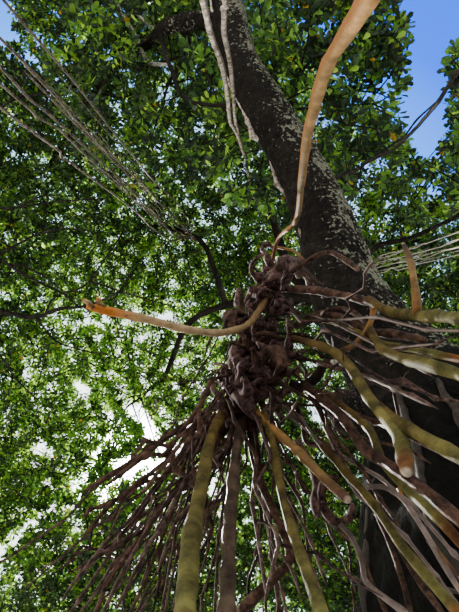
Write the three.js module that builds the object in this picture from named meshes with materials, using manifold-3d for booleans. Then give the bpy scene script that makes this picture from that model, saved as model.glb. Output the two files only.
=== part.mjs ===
// A banyan tree: a short fluted trunk, one great leaning limb and its fellow boughs,
// a wide crown held as separate masses of foliage, and hanging aerial roots.
// Every length is in millimetres. The origin is the middle of the cut at ground level.
import * as THREE from 'three';
import Module from 'manifold-3d';

const wasm = await Module();
wasm.setup();
const { Manifold, Mesh } = wasm;

// Driving sizes.
const METRE = 1000;
const GAP = 0.3;                 // clear space between two touching parts
const TRUNK_SIDES = 24;          // facets round the trunk
const FLARE_HEIGHT = 0.42 * METRE;   // height over which the root flare dies away
const FLARE_LOBES = 7;           // buttress-like folds in the flare
const CROWN_X = -0.5 * METRE;    // middle of the crown seen from above
const CROWN_Y = -0.8 * METRE;
const MASS_SQUASH = 0.64;        // height of a mass of foliage over its width
const MASS_MARGIN = 16;          // distance kept from a neighbour's space
const MAIN_TWIGS = 7;            // main twigs in each mass
const TWIG_REACH = 0.62;         // main twigs end this far out in their space
const GOLDEN_ANGLE = 2.39996;    // turn from one main twig to the next, in radians
const SPRAY_LENGTH = 1.06 * METRE;   // each leaf solid stands for a spray of leaves
const SPRAY_WIDTH = 0.62;        // its width over its length
const SPRAY_THICKNESS = 0.055;   // its thickness over its length
const TIP_RADIUS = 44;           // a limb's radius where it enters a mass
const LIMB_CLEARANCE = 14;       // twigs and leaves keep this far from a limb
const SPRAY_CLEARANCE = 90;      // and sprays this far from each other's inner points

// Seeded random numbers, the same on any machine.
function makeRandom(seed) {
  let state = seed >>> 0;
  return () => {
    state = (state + 0x6d2b79f5) >>> 0;
    let t = state;
    t = Math.imul(t ^ (t >>> 15), t | 1);
    t ^= t + Math.imul(t ^ (t >>> 7), t | 61);
    return ((t ^ (t >>> 14)) >>> 0) / 4294967296;
  };
}

function vec(x, y, z) {
  return new THREE.Vector3(x, y, z);
}

// A limb is a list of stations [x, y, z, radius] in metres.
function spine(stations, perSpan) {
  // A smooth curve through the stations; the radius follows the same blend.
  const points = stations.map((s) => vec(s[0], s[1], s[2]).multiplyScalar(METRE));
  const curve = new THREE.CatmullRomCurve3(points, false, 'centripetal');
  const spans = stations.length - 1;
  const path = [];
  for (let i = 0; i <= spans * perSpan; i += 1) {
    const t = i / (spans * perSpan);
    const span = Math.min(spans - 1, Math.floor(t * spans));
    const part = t * spans - span;
    const radius = METRE * (stations[span][3] * (1 - part) + stations[span + 1][3] * part);
    path.push({ point: curve.getPoint(t), radius });
  }
  return path;
}

function direction(path, i) {
  const before = path[Math.max(0, i - 1)].point;
  const after = path[Math.min(path.length - 1, i + 1)].point;
  return after.clone().sub(before).normalize();
}

function ringFrames(path) {
  // Each ring's two axes are carried along the path without twist.
  const frames = [];
  let across = vec(0.3, 1, 0.1);
  for (let i = 0; i < path.length; i += 1) {
    const along = direction(path, i);
    across = across.clone().addScaledVector(along, -across.dot(along)).normalize();
    frames.push({ along, across, up: along.clone().cross(across) });
  }
  return frames;
}

function solidFromRings(rings) {
  // Rings of equal count become one closed solid with a flat cap at each end.
  const sides = rings[0].length;
  const positions = [];
  const triangles = [];
  for (const ring of rings) {
    for (const p of ring) positions.push(p.x, p.y, p.z);
  }
  for (let r = 0; r < rings.length - 1; r += 1) {
    for (let s = 0; s < sides; s += 1) {
      const a = r * sides + s;
      const b = r * sides + ((s + 1) % sides);
      triangles.push(a, b, b + sides, a, b + sides, a + sides);
    }
  }
  const last = (rings.length - 1) * sides;
  for (let s = 1; s < sides - 1; s += 1) {
    triangles.push(0, s + 1, s);
    triangles.push(last, last + s, last + s + 1);
  }
  return new Manifold(new Mesh({
    numProp: 3,
    vertProperties: new Float32Array(positions),
    triVerts: new Uint32Array(triangles),
  }));
}

function tube(path, sides, grow = 0) {
  // A tapering limb; grow widens it and lengthens both ends by the same amount.
  const frames = ringFrames(path);
  const rings = path.map((station, i) => {
    const { along, across, up } = frames[i];
    const centre = station.point.clone();
    if (i === 0) centre.addScaledVector(along, -grow);
    if (i === path.length - 1) centre.addScaledVector(along, grow);
    const radius = (station.radius + grow) / Math.cos(Math.PI / sides) ** 0.5;
    const ring = [];
    for (let s = 0; s < sides; s += 1) {
      const angle = (s / sides) * 2 * Math.PI;
      ring.push(centre.clone()
        .addScaledVector(across, radius * Math.cos(angle))
        .addScaledVector(up, radius * Math.sin(angle)));
    }
    return ring;
  });
  return solidFromRings(rings);
}

function largestBody(solid) {
  // Fusing and cutting can leave a loose scrap or seal a hollow; only the body is kept.
  const bodies = solid.decompose();
  let best = bodies[0];
  for (const body of bodies) {
    if (body.volume() > best.volume()) best = body;
  }
  return best;
}

function boxesMeet(a, b) {
  for (let k = 0; k < 3; k += 1) {
    if (a.min[k] > b.max[k] + 1 || b.min[k] > a.max[k] + 1) return false;
  }
  return true;
}

const nodes = [];                // { name, solid, colour, roughness }
const limbs = [];                // { name, path, grown, box } in the order they are cut

const BARK = 0x6b6358;
const BARK_YOUNG = 0x75695a;
const ROOT_TUFT = 0x6f5543;
const ROOT_PALE = 0xa2917c;
const FOLIAGE = 0x3f6420;

function cutClear(solid) {
  // A new part gives way to every limb and root already there, with the gap all round.
  let left = solid;
  for (const other of limbs) {
    if (boxesMeet(left.boundingBox(), other.box)) left = left.subtract(other.grown);
  }
  return largestBody(left);
}

function addLimb(name, path, sides, colour = BARK) {
  const solid = cutClear(tube(path, sides));
  const grown = tube(path, sides, GAP);
  limbs.push({ name, path, grown, box: grown.boundingBox() });
  nodes.push({ name, solid, colour, roughness: 0.9 });
  return path;
}

// Trunk: leaning, tapering, folded at the root flare, cut flat at the ground.
const trunkStations = [
  [0.00, 0.00, 0.00, 0.60],
  [0.02, -0.02, 0.12, 0.595],
  [0.03, -0.03, 0.30, 0.585],
  [0.04, -0.05, 0.65, 0.57],
  [0.07, -0.09, 1.15, 0.552],
  [0.18, -0.20, 2.50, 0.515],
  [0.29, -0.31, 3.20, 0.475],
  [0.38, -0.40, 3.75, 0.42],
  [0.41, -0.43, 4.00, 0.34],
  [0.42, -0.44, 4.10, 0.20],
];

function trunkRadius(radius, z, angle) {
  const flare = Math.exp(-z / FLARE_HEIGHT);
  const lobe = 0.5 + 0.5 * Math.cos(FLARE_LOBES * angle + 1.1 * Math.sin(2 * angle));
  const fold = 0.045 * Math.cos(5 * angle + 0.9 * z / METRE) + 0.03 * Math.cos(9 * angle + 2);
  return radius * (1 + fold + flare * (0.16 + 0.52 * lobe));
}

function trunkSolid(grow) {
  const rings = trunkStations.map(([x, y, z, radius], i) => {
    const ring = [];
    const height = i === 0 ? 0 : z * METRE + (i === trunkStations.length - 1 ? grow : 0);
    for (let s = 0; s < TRUNK_SIDES; s += 1) {
      const angle = (s / TRUNK_SIDES) * 2 * Math.PI;
      const reach = trunkRadius(radius * METRE, z * METRE, angle) + grow;
      ring.push(vec(
        x * METRE + reach * Math.cos(angle),
        y * METRE + reach * Math.sin(angle),
        height,
      ));
    }
    return ring;
  });
  return solidFromRings(rings);
}

const trunkPath = trunkStations.map(([x, y, z, radius]) => ({
  point: vec(x, y, z).multiplyScalar(METRE),
  radius: radius * METRE * (1.08 + 0.7 * Math.exp((-z * METRE) / FLARE_HEIGHT)),
}));
nodes.push({ name: 'trunk', solid: trunkSolid(0), colour: BARK, roughness: 0.92 });
const trunkGrown = trunkSolid(GAP);
limbs.push({
  name: 'trunk', path: trunkPath, grown: trunkGrown, box: trunkGrown.boundingBox(),
});

// Main boughs: stations in metres.
const leader = addLimb('leader', spine([
  [0.34, -0.44, 3.70, 0.31],
  [0.18, -0.71, 4.30, 0.285],
  [-0.04, -1.12, 4.58, 0.245],
  [-0.17, -1.76, 4.98, 0.215],
  [-0.49, -2.57, 5.40, 0.200],
  [-0.84, -3.37, 5.80, 0.174],
  [-1.00, -4.20, 6.12, 0.160],
  [-1.24, -5.10, 6.75, 0.125],
  [-1.66, -5.42, 7.40, 0.095],
], 1), 11);

const mainStem = addLimb('main_stem', spine([
  [0.42, -0.40, 3.80, 0.27],
  [0.46, -0.68, 5.40, 0.225],
  [0.46, -0.96, 7.20, 0.180],
  [0.42, -1.08, 8.40, 0.150],
  [0.16, -1.06, 9.50, 0.110],
  [-0.10, -1.00, 10.20, 0.080],
], 1), 9);

addLimb('bough_stub', spine([
  [0.46, -0.40, 3.90, 0.150],
  [0.12, -0.41, 4.02, 0.135],
  [-0.20, -0.44, 4.05, 0.115],
], 1), 9);

const boughEast = addLimb('bough_east', spine([
  [0.42, -0.56, 4.00, 0.160],
  [0.72, -0.62, 4.42, 0.140],
  [1.70, -0.66, 5.10, 0.125],
  [3.10, -0.48, 5.62, 0.110],
  [4.46, -0.36, 5.95, 0.085],
], 2), 8);

const boughBack = addLimb('bough_back', spine([
  [0.44, -0.34, 3.80, 0.250],
  [0.62, 0.35, 5.20, 0.185],
  [0.92, 1.85, 6.45, 0.150],
  [1.12, 3.05, 7.55, 0.100],
], 3), 8);

const boughSouthwest = addLimb('bough_southwest', spine([
  [0.16, -0.12, 2.85, 0.235],
  [-0.34, 0.96, 3.75, 0.195],
  [-1.60, 2.30, 5.00, 0.165],
  [-3.55, 3.25, 6.30, 0.135],
  [-4.62, 2.00, 7.35, 0.100],
  [-4.90, 1.30, 7.80, 0.080],
], 2), 9);

const boughNorthwest = addLimb('bough_northwest', spine([
  [-0.90, -3.72, 5.95, 0.095],
  [-1.22, -3.91, 6.05, 0.088],
  [-1.60, -3.93, 6.16, 0.078],
  [-1.88, -3.96, 6.50, 0.050],
  [-2.75, -3.96, 7.40, 0.044],
  [-3.75, -3.10, 8.05, 0.040],
], 2), 6);

const parents = {
  leader, mainStem, boughEast, boughBack, boughSouthwest, boughNorthwest,
};

// Masses of foliage: place round the crown's middle, height, half width.
// A mass with no parent is borne by the tip of the bough named last.
const massPlan = [
  // name, azimuth in degrees, distance, height, half width, parent, place along it, seed
  ['crown_top', 300, 0.3, 11.25, 2.25, null, mainStem, 11],
  ['upper_east', 2, 3.5, 9.95, 2.25, 'mainStem', 0.72, 12],
  ['upper_south', 72, 3.5, 10.0, 2.25, 'boughBack', 0.66, 13],
  ['upper_west', 146, 3.4, 10.1, 2.3, 'limbWest', 1, 14],
  ['upper_northwest', 206, 3.5, 10.1, 2.25, 'limbNorthwest', 1, 15],
  ['upper_north', 264, 3.4, 10.0, 2.15, 'limbNorth', 1, 16],
  ['middle_northeast', 338, 5.0, 8.3, 2.15, 'boughEast', 0.42, 17],
  ['middle_east', 23, 5.1, 8.2, 2.25, 'boughEast', 0.60, 18],
  ['middle_south', 70, 5.1, 8.3, 2.25, null, boughBack, 19],
  ['middle_southwest', 115, 5.1, 8.3, 2.25, 'boughSouthwest', 0.52, 20],
  ['middle_west', 163, 5.1, 8.3, 2.25, null, boughSouthwest, 21],
  ['middle_northwest', 205, 5.0, 8.3, 2.15, null, boughNorthwest, 22],
  ['middle_north', 250, 5.0, 8.2, 2.15, null, leader, 23],
  ['low_east', 4, 6.5, 6.2, 2.2, null, boughEast, 24],
  ['low_southeast', 50, 6.6, 6.2, 2.2, 'boughBack', 0.36, 25],
  ['low_south', 98, 6.6, 6.1, 2.2, 'boughSouthwest', 0.38, 26],
  ['low_southwest', 146, 6.6, 6.2, 2.2, 'boughSouthwest', 0.56, 27],
  ['low_west', 194, 6.6, 6.3, 2.2, 'boughSouthwest', 0.86, 28],
  ['low_northwest', 242, 6.6, 6.1, 2.2, 'leader', 0.86, 29],
  ['low_northeast', 302, 6.5, 6.2, 2.2, 'leader', 0.75, 30],
  ['inner_north', 276, 2.5, 6.45, 1.40, 'leader', 0.50, 31],
  ['inner_east', 323, 2.85, 5.6, 1.10, 'limbEast', 1, 32],
  ['inner_northeast', 332, 2.4, 8.15, 1.80, 'mainStem', 0.52, 33],
  ['inner_northwest', 246, 3.3, 7.1, 1.50, 'boughNorthwest', 0.34, 34],
];

function massCentre(azimuth, distance, height) {
  const angle = (azimuth * Math.PI) / 180;
  return vec(
    CROWN_X + distance * METRE * Math.cos(angle),
    CROWN_Y + distance * METRE * Math.sin(angle),
    height * METRE,
  );
}

const masses = massPlan.map(([name, azimuth, distance, height, half, parent, place, seed]) => ({
  name,
  centre: massCentre(azimuth, distance, height),
  half: half * METRE,
  parent,
  place,
  seed,
}));

// Limbs from the boughs into the masses.
function entryPoint(mass, from) {
  // The stem of a mass starts part of the way in from the side its limb comes from.
  const toward = from.clone().sub(mass.centre);
  toward.z *= 0.7;
  return mass.centre.clone().addScaledVector(toward.normalize(), 0.52 * mass.half);
}

function limbToMass(mass, parentPath, fraction) {
  // A bent limb leaves along its parent and turns to enter the mass.
  const index = Math.min(parentPath.length - 2, Math.round(fraction * (parentPath.length - 1)));
  const start = parentPath[index].point;
  const leaving = direction(parentPath, index);
  const end = entryPoint(mass, start);
  const reach = end.distanceTo(start);
  const entering = mass.centre.clone().sub(end).normalize();
  const bend = new THREE.CubicBezierCurve3(
    start,
    start.clone().addScaledVector(leaving, 0.30 * reach).add(vec(0, 0, 0.05 * reach)),
    end.clone().addScaledVector(entering, -0.30 * reach),
    end,
  );
  const thick = Math.min(0.62 * parentPath[index].radius, TIP_RADIUS + 0.012 * reach);
  const pieces = Math.max(3, Math.round(reach / 900));
  const path = [];
  for (let i = 0; i <= pieces; i += 1) {
    const t = i / pieces;
    path.push({ point: bend.getPoint(t), radius: thick * (1 - t) + Math.min(TIP_RADIUS, thick) * t });
  }
  return path;
}

// Three limbs of the upper crown have bends of their own.
parents.limbWest = addLimb('limb_upper_west', spine([
  [0.42, -1.08, 8.30, 0.080],
  [-0.28, -1.10, 8.58, 0.066],
  [-0.98, -1.02, 8.84, 0.058],
  [-1.80, -0.70, 9.02, 0.048],
  [-2.32, 0.22, 9.50, 0.042],
], 2), 6, BARK_YOUNG);
parents.limbNorthwest = addLimb('limb_upper_northwest', spine([
  [-1.20, -0.95, 8.88, 0.048],
  [-1.38, -1.45, 9.02, 0.044],
  [-1.66, -2.05, 9.24, 0.042],
  [-2.36, -2.38, 9.66, 0.040],
], 1), 6, BARK_YOUNG);
parents.limbNorth = addLimb('limb_upper_north', spine([
  [0.42, -1.06, 8.20, 0.095],
  [-0.12, -1.42, 8.72, 0.078],
  [-0.38, -2.20, 9.02, 0.066],
  [-0.62, -3.16, 9.44, 0.040],
], 2), 6, BARK_YOUNG);
parents.limbEast = addLimb('limb_inner_east', spine([
  [0.46, -0.90, 6.55, 0.040],
  [0.56, -1.60, 6.38, 0.028],
  [0.94, -1.72, 6.34, 0.024],
  [1.44, -1.96, 6.32, 0.022],
  [1.64, -2.14, 6.10, 0.021],
], 1), 5, BARK_YOUNG);

for (const mass of masses) {
  if (mass.parent === null) {
    mass.limb = mass.place;
  } else if (mass.place === 1) {
    mass.limb = parents[mass.parent];
  } else {
    const path = limbToMass(mass, parents[mass.parent], mass.place);
    mass.limb = addLimb(`limb_${mass.name}`, path, 5, BARK_YOUNG);
  }
}

// Aerial roots.
function rootTube(points, thickStart, thickEnd) {
  // points in metres, the two diameters in millimetres
  const path = spine(points.map((p) => [p[0], p[1], p[2], 0]), 1);
  path.forEach((station, i) => {
    const t = i / (path.length - 1);
    station.radius = (thickStart * (1 - t) + thickEnd * t) / 2;
  });
  return path;
}

function addRoots(name, paths, sides, colour) {
  const solid = cutClear(Manifold.union(paths.map((path) => tube(path, sides))));
  nodes.push({ name, solid, colour, roughness: 0.85 });
  for (const path of paths) {
    const grown = tube(path, sides, GAP);
    limbs.push({ name, path, grown, box: grown.boundingBox() });
  }
}

// The near tuft: a gnarled cord comes down from the leader and bursts into a broom.
const KNOT_TOP = [-0.59, -1.17, 2.62];
const KNOT_LOW = [-0.62, -0.91, 2.34];

function droop(azimuth, place, reach, drop, thick, side) {
  // A root leaves the knot sideways and bends over until it hangs.
  const angle = (azimuth * Math.PI) / 180;
  const start = KNOT_TOP.map((value, k) => value * (1 - place) + KNOT_LOW[k] * place);
  const points = [];
  for (let i = 0; i <= 3; i += 1) {
    const t = i / 3;
    const out = reach * t ** 0.85;
    const sway = side * Math.sin(Math.PI * t);
    points.push([
      start[0] + out * Math.cos(angle) - sway * Math.sin(angle),
      start[1] + out * Math.sin(angle) + sway * Math.cos(angle),
      start[2] - drop * t ** 1.5,
    ]);
  }
  return rootTube(points, thick * 1.1, thick * 0.8);
}

const tuftPaths = [
  rootTube([[-0.20, -1.10, 4.50], [-0.36, -1.14, 3.60], [-0.54, -1.17, 2.95], KNOT_TOP], 46, 62),
  rootTube([[-0.59, -1.19, 2.70], [-0.60, -1.05, 2.48], KNOT_LOW, [-0.62, -0.86, 2.20]], 78, 60),
];
// azimuth, place along the knot, reach, drop, diameter, sideways bow
const tuftPlan = [
  [136, 0.35, 0.78, 0.36, 13, 0.03], [130, 0.55, 0.80, 0.46, 13, -0.03],
  [124, 0.70, 0.78, 0.52, 14, 0.04], [118, 0.80, 0.74, 0.58, 14, -0.04],
  [112, 0.90, 0.66, 0.66, 15, 0.03], [140, 0.75, 0.62, 0.50, 13, -0.05],
  [105, 0.95, 0.50, 0.84, 16, 0.02], [97, 1.00, 0.38, 0.98, 18, -0.02],
  [88, 1.00, 0.34, 1.00, 17, 0.03], [78, 0.90, 0.40, 0.92, 17, -0.02],
  [66, 0.90, 0.50, 0.84, 15, 0.03], [54, 0.80, 0.58, 0.74, 15, -0.04],
  [42, 0.60, 0.60, 0.70, 16, 0.03], [30, 0.40, 0.56, 0.76, 18, 0.04],
  [16, 0.30, 0.58, 0.70, 18, -0.03], [4, 0.15, 0.54, 0.68, 19, 0.02],
];
for (const [azimuth, place, reach, drop, thick, side] of tuftPlan) {
  tuftPaths.push(droop(azimuth, place, reach, drop, thick, side));
}
// Two roots of their own: one curls down past the north side, one runs out to the west.
tuftPaths.push(rootTube([
  [-0.595, -1.170, 2.66], [-0.552, -1.285, 2.36], [-0.557, -1.310, 2.05],
  [-0.570, -1.305, 1.78], [-0.563, -1.270, 1.59],
], 13, 22));
tuftPaths.push(rootTube([
  [-0.605, -1.09, 2.52], [-0.71, -1.03, 2.23], [-0.885, -1.084, 2.03],
], 16, 13));
addRoots('roots_tuft', tuftPaths, 4, ROOT_TUFT);

// Curtains of long straight roots: a knotted heel under a limb, then plumb roots.
function curtain(name, heel, plumb, turn, roots, thick, lean) {
  // heel: a point on the limb; plumb: where the roots hang, seen from above; turn: the
  // direction of their row; roots: place in the row and length; lean: drift of the ends.
  const angle = (turn * Math.PI) / 180;
  const away = [plumb[0] - heel[0], plumb[1] - heel[1]];
  const paths = [rootTube([
    heel,
    [heel[0] + 0.2 * away[0], heel[1] + 0.2 * away[1], heel[2] - 0.2],
    [heel[0] + 0.4 * away[0], heel[1] + 0.4 * away[1], heel[2] - 0.4],
  ], thick * 3.2, thick * 2.8)];
  roots.forEach(([offset, length]) => {
    const x = plumb[0] + offset * Math.cos(angle);
    const y = plumb[1] + offset * Math.sin(angle);
    paths.push(rootTube([
      [heel[0] + 0.3 * away[0], heel[1] + 0.3 * away[1], heel[2] - 0.3],
      [x, y, heel[2] - 1.0],
      [x + lean[0], y + lean[1], heel[2] - length],
    ], thick * 1.1, thick * 0.8));
  });
  addRoots(name, paths, 4, ROOT_PALE);
}

curtain('roots_west', [-1.76, -2.10, 9.30], [-1.83, -2.10], 131,
  [[-0.18, 6.6], [-0.06, 7.1], [-0.01, 5.8], [0.04, 6.9], [0.09, 6.2], [0.19, 5.9]],
  23, [0.06, -0.08]);
curtain('roots_north', [-0.46, -2.50, 9.16], [-0.72, -2.53], 170,
  [[-0.05, 6.4], [0.05, 6.1]], 38, [-0.13, -0.02]);
curtain('roots_east', [0.70, -1.22, 7.90], [0.68, -1.42], 75,
  [[-0.08, 4.2], [-0.03, 4.6], [0.02, 4.4], [0.07, 4.1]], 22, [0, -0.03]);
curtain('roots_south', [-1.60, 2.30, 4.95], [-1.62, 2.33], 30,
  [[-0.15, 2.9], [0, 2.2], [0.16, 3.2]], 26, [-0.05, 0.08]);
curtain('roots_far_east', [3.10, -0.48, 5.58], [3.12, -0.46], 10,
  [[-0.14, 2.4], [0.02, 3.1], [0.15, 2.7]], 24, [0.06, 0.05]);
addRoots('roots_northeast', [rootTube([
  [-0.19, -1.96, 5.10], [0.06, -2.10, 5.20], [0.26, -2.16, 5.04],
  [0.34, -2.17, 4.50], [0.32, -2.18, 3.50], [0.30, -2.20, 2.50],
], 26, 20)], 4, BARK_YOUNG);

// Foliage.
function squash(point) {
  return vec(point.x, point.y, point.z / MASS_SQUASH);
}

for (const mass of masses) mass.flat = squash(mass.centre);

function inOwnSpace(mass, point) {
  // Each mass owns the points nearer to it than to any other, by distance squared
  // less its half width squared, so every shared border is a plane.
  const flat = squash(point);
  const own = flat.distanceToSquared(mass.flat) - mass.half ** 2;
  if (own > 0) return false;
  for (const other of masses) {
    if (other === mass) continue;
    const theirs = flat.distanceToSquared(other.flat) - other.half ** 2;
    const apart = mass.flat.distanceTo(other.flat);
    if (theirs - own < 2 * apart * MASS_MARGIN) return false;
  }
  return true;
}

function reachOfSpace(mass, from, heading) {
  // How far a line from a point inside runs before it leaves the mass's own space.
  let near = 0;
  let far = 2.4 * mass.half;
  for (let step = 0; step < 18; step += 1) {
    const middle = (near + far) / 2;
    if (inOwnSpace(mass, from.clone().addScaledVector(heading, middle))) near = middle;
    else far = middle;
  }
  return near;
}

function clearOfLimbs(points, allowance) {
  const segment = new THREE.Line3();
  const nearest = vec(0, 0, 0);
  const low = [Infinity, Infinity, Infinity];
  const high = [-Infinity, -Infinity, -Infinity];
  for (const p of points) {
    [p.x, p.y, p.z].forEach((value, k) => {
      low[k] = Math.min(low[k], value);
      high[k] = Math.max(high[k], value);
    });
  }
  for (const limb of limbs) {
    if (limb.box.min.some((value, k) => value - 120 > high[k])) continue;
    if (limb.box.max.some((value, k) => value + 120 < low[k])) continue;
    for (let i = 0; i < limb.path.length - 1; i += 1) {
      const a = limb.path[i];
      const b = limb.path[i + 1];
      const thick = Math.max(a.radius, b.radius) * 1.05 + allowance;
      segment.set(a.point, b.point);
      for (const p of points) {
        segment.closestPointToPoint(p, true, nearest);
        if (nearest.distanceTo(p) < thick) return false;
      }
    }
  }
  return true;
}

function spraySolid(root, heading, side, length) {
  // A leaf shape, flat above and keeled below, widest past its middle: it stands for a spray.
  const up = heading.clone().cross(side).normalize();
  const wide = root.clone().addScaledVector(heading, 0.58 * length);
  const half = 0.5 * SPRAY_WIDTH * length;
  const tip = root.clone().addScaledVector(heading, length);
  const left = wide.clone().addScaledVector(side, -half);
  const right = wide.clone().addScaledVector(side, half);
  const keel = wide.clone().addScaledVector(up, -SPRAY_THICKNESS * length);
  const corners = [root, tip, left, right, keel];
  const faces = [0, 2, 3, 1, 3, 2, 0, 4, 2, 0, 3, 4, 1, 2, 4, 1, 4, 3];
  const samples = [left, right, tip];
  for (let i = 1; i <= 7; i += 1) {
    const along = i / 8;
    const reach = half * (along < 0.58 ? along / 0.58 : (1 - along) / 0.42);
    const middle = root.clone().lerp(tip, along);
    samples.push(middle);
    for (const share of [0.5, 1]) {
      samples.push(middle.clone().addScaledVector(side, reach * share));
      samples.push(middle.clone().addScaledVector(side, -reach * share));
    }
  }
  return { corners, faces, samples, inner: samples.slice(5) };
}

function crowded(points, taken) {
  return points.some((p) => taken.some((q) => p.distanceTo(q) < SPRAY_CLEARANCE));
}

function crowdedByTwigs(points, twigs, own) {
  return twigs.some((twig) => twig.samples !== own && crowded(points, twig.samples));
}

function solidFromCorners(corners, faces) {
  const positions = [];
  for (const p of corners) positions.push(p.x, p.y, p.z);
  return new Manifold(new Mesh({
    numProp: 3,
    vertProperties: new Float32Array(positions),
    triVerts: new Uint32Array(faces),
  }));
}

function lineSamples(from, to, count) {
  const samples = [];
  for (let i = 1; i <= count; i += 1) samples.push(from.clone().lerp(to, i / count));
  return samples;
}

function growMass(mass) {
  const random = makeRandom(mass.seed * 7919);
  const solids = [];
  const twigs = [];
  const taken = [];
  const limb = mass.limb;
  const end = limb[limb.length - 1];
  const entering = direction(limb, limb.length - 1);
  const foot = end.point.clone().addScaledVector(entering, GAP);
  const top = mass.centre.clone().add(vec(0, 0, 0.10 * mass.half));
  const stem = [
    { point: foot, radius: end.radius },
    { point: foot.clone().addScaledVector(entering, 0.12 * METRE), radius: end.radius * 0.98 },
    { point: top, radius: end.radius * 0.85 },
  ];
  solids.push(tube(stem, 4));
  // Main twigs fan out evenly over the whole space; those that turn back start first.
  const turn = random() * 2 * Math.PI;
  const count = mass.half > 1.6 * METRE ? MAIN_TWIGS : MAIN_TWIGS - 2;
  const headings = [];
  for (let k = 0; k < count; k += 1) {
    const height = 1 - (2 * (k + 0.5)) / count;
    const flat = Math.sqrt(1 - height * height);
    const angle = turn + k * GOLDEN_ANGLE;
    headings.push(vec(
      flat * Math.cos(angle),
      flat * Math.sin(angle),
      height * MASS_SQUASH,
    ).normalize());
  }
  headings.sort((a, b) => a.dot(entering) - b.dot(entering));
  headings.forEach((heading, rank) => {
    const start = foot.clone().lerp(top, 0.32 + (0.64 * rank) / (count - 1));
    const tipReach = reachOfSpace(mass, mass.centre, heading);
    const tip = mass.centre.clone().addScaledVector(heading, tipReach * TWIG_REACH);
    const samples = lineSamples(start, tip, 14);
    const inside = samples.every((p) => inOwnSpace(mass, p));
    if (!inside || !clearOfLimbs(samples, 22 + LIMB_CLEARANCE)) return;
    solids.push(tube([{ point: start, radius: 21 }, { point: tip, radius: 18 }], 3));
    twigs.push({ start, tip, samples: samples.slice(3) });
  });
  for (const { start, tip, samples: own } of twigs) {
    // One spray at the tip, then sprays by turns on both sides of the twig.
    const places = [1, 0.76, 0.52];
    const twig = tip.clone().sub(start).normalize();
    const level = vec(-twig.y, twig.x, 0).normalize();
    places.forEach((place, i) => {
      for (let attempt = 0; attempt < 6; attempt += 1) {
        const along = start.clone().lerp(tip, place);
        const hand = i === 0 ? 0.5 * (random() - 0.5) : (i % 2 ? 1 : -1) * (0.75 + 0.5 * random());
        const pointing = twig.clone().multiplyScalar(i === 0 ? 1 : 0.75)
          .addScaledVector(level, hand)
          .add(vec(0, 0, 0.5 * (random() - 0.5)))
          .normalize();
        let side = pointing.clone().cross(vec(0, 0, 1)).normalize();
        const roll = (random() - 0.5) * 1.3;
        side = side.applyAxisAngle(pointing, roll);
        const length = SPRAY_LENGTH * (0.82 + 0.4 * random()) * (1 - 0.10 * attempt);
        const root = along.clone().addScaledVector(pointing, i === 0 ? -18 : -4);
        const spray = spraySolid(root, pointing, side, length);
        const kept = spray.samples.every((p) => inOwnSpace(mass, p));
        if (!kept || !clearOfLimbs(spray.samples, LIMB_CLEARANCE + 34)) continue;
        if (crowded(spray.inner, taken) || crowdedByTwigs(spray.inner, twigs, own)) continue;
        taken.push(...spray.inner);
        solids.push(solidFromCorners(spray.corners, spray.faces));
        break;
      }
    });
  }
  return cutClear(Manifold.union(solids));
}

for (const mass of masses) {
  nodes.push({
    name: `foliage_${mass.name}`, solid: growMass(mass), colour: FOLIAGE, roughness: 0.55,
  });
}

// The finished group.
const tree = new THREE.Group();
tree.name = 'banyan_tree';
for (const node of nodes) {
  const mesh = node.solid.getMesh();
  const geometry = new THREE.BufferGeometry();
  const positions = new Float32Array(mesh.numVert * 3);
  for (let i = 0; i < mesh.numVert; i += 1) {
    for (let k = 0; k < 3; k += 1) {
      positions[i * 3 + k] = mesh.vertProperties[i * mesh.numProp + k];
    }
  }
  geometry.setAttribute('position', new THREE.BufferAttribute(positions, 3));
  geometry.setIndex(new THREE.BufferAttribute(new Uint32Array(mesh.triVerts), 1));
  const material = new THREE.MeshStandardMaterial({
    color: node.colour, roughness: node.roughness, metalness: 0,
  });
  const object = new THREE.Mesh(geometry, material);
  object.name = node.name;
  tree.add(object);
}

export default tree;
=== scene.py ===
"""A banyan tree: a dark fluted trunk and leaning boughs, hanging roots, and a crown of glossy leaves."""

import bpy
import numpy as np
from mathutils import Matrix, Vector


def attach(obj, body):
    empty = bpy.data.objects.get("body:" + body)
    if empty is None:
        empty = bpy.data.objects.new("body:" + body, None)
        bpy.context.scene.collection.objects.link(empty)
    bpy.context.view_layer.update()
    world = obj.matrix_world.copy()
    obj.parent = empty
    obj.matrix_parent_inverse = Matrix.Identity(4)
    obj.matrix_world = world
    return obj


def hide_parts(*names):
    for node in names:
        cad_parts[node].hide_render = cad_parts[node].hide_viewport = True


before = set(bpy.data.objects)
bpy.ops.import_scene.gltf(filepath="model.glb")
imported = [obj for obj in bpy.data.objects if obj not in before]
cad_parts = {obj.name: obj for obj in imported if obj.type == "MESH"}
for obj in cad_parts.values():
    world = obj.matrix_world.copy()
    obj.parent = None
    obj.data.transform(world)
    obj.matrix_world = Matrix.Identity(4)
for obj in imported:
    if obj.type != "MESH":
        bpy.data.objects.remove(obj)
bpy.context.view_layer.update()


# Trunk. One short leaning stem of wood under thin grey-brown bark, its foot spread into seven
# root folds and cut flat at the ground. It widens and narrows in soft flutes where old hanging
# roots have grown into it.
TRUNK_STATIONS = [  # x, y, z, radius
    [0.00, 0.00, 0.00, 0.60], [0.02, -0.02, 0.12, 0.595], [0.03, -0.03, 0.30, 0.585],
    [0.04, -0.05, 0.65, 0.57], [0.07, -0.09, 1.15, 0.552], [0.18, -0.20, 2.50, 0.515],
    [0.29, -0.31, 3.20, 0.475], [0.38, -0.40, 3.75, 0.42], [0.41, -0.43, 4.00, 0.34],
    [0.42, -0.44, 4.10, 0.20],
]
FLARE_HEIGHT = 0.42
FLARE_LOBES = 7
TRUNK_RINGS, TRUNK_SIDES = 210, 168


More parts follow.
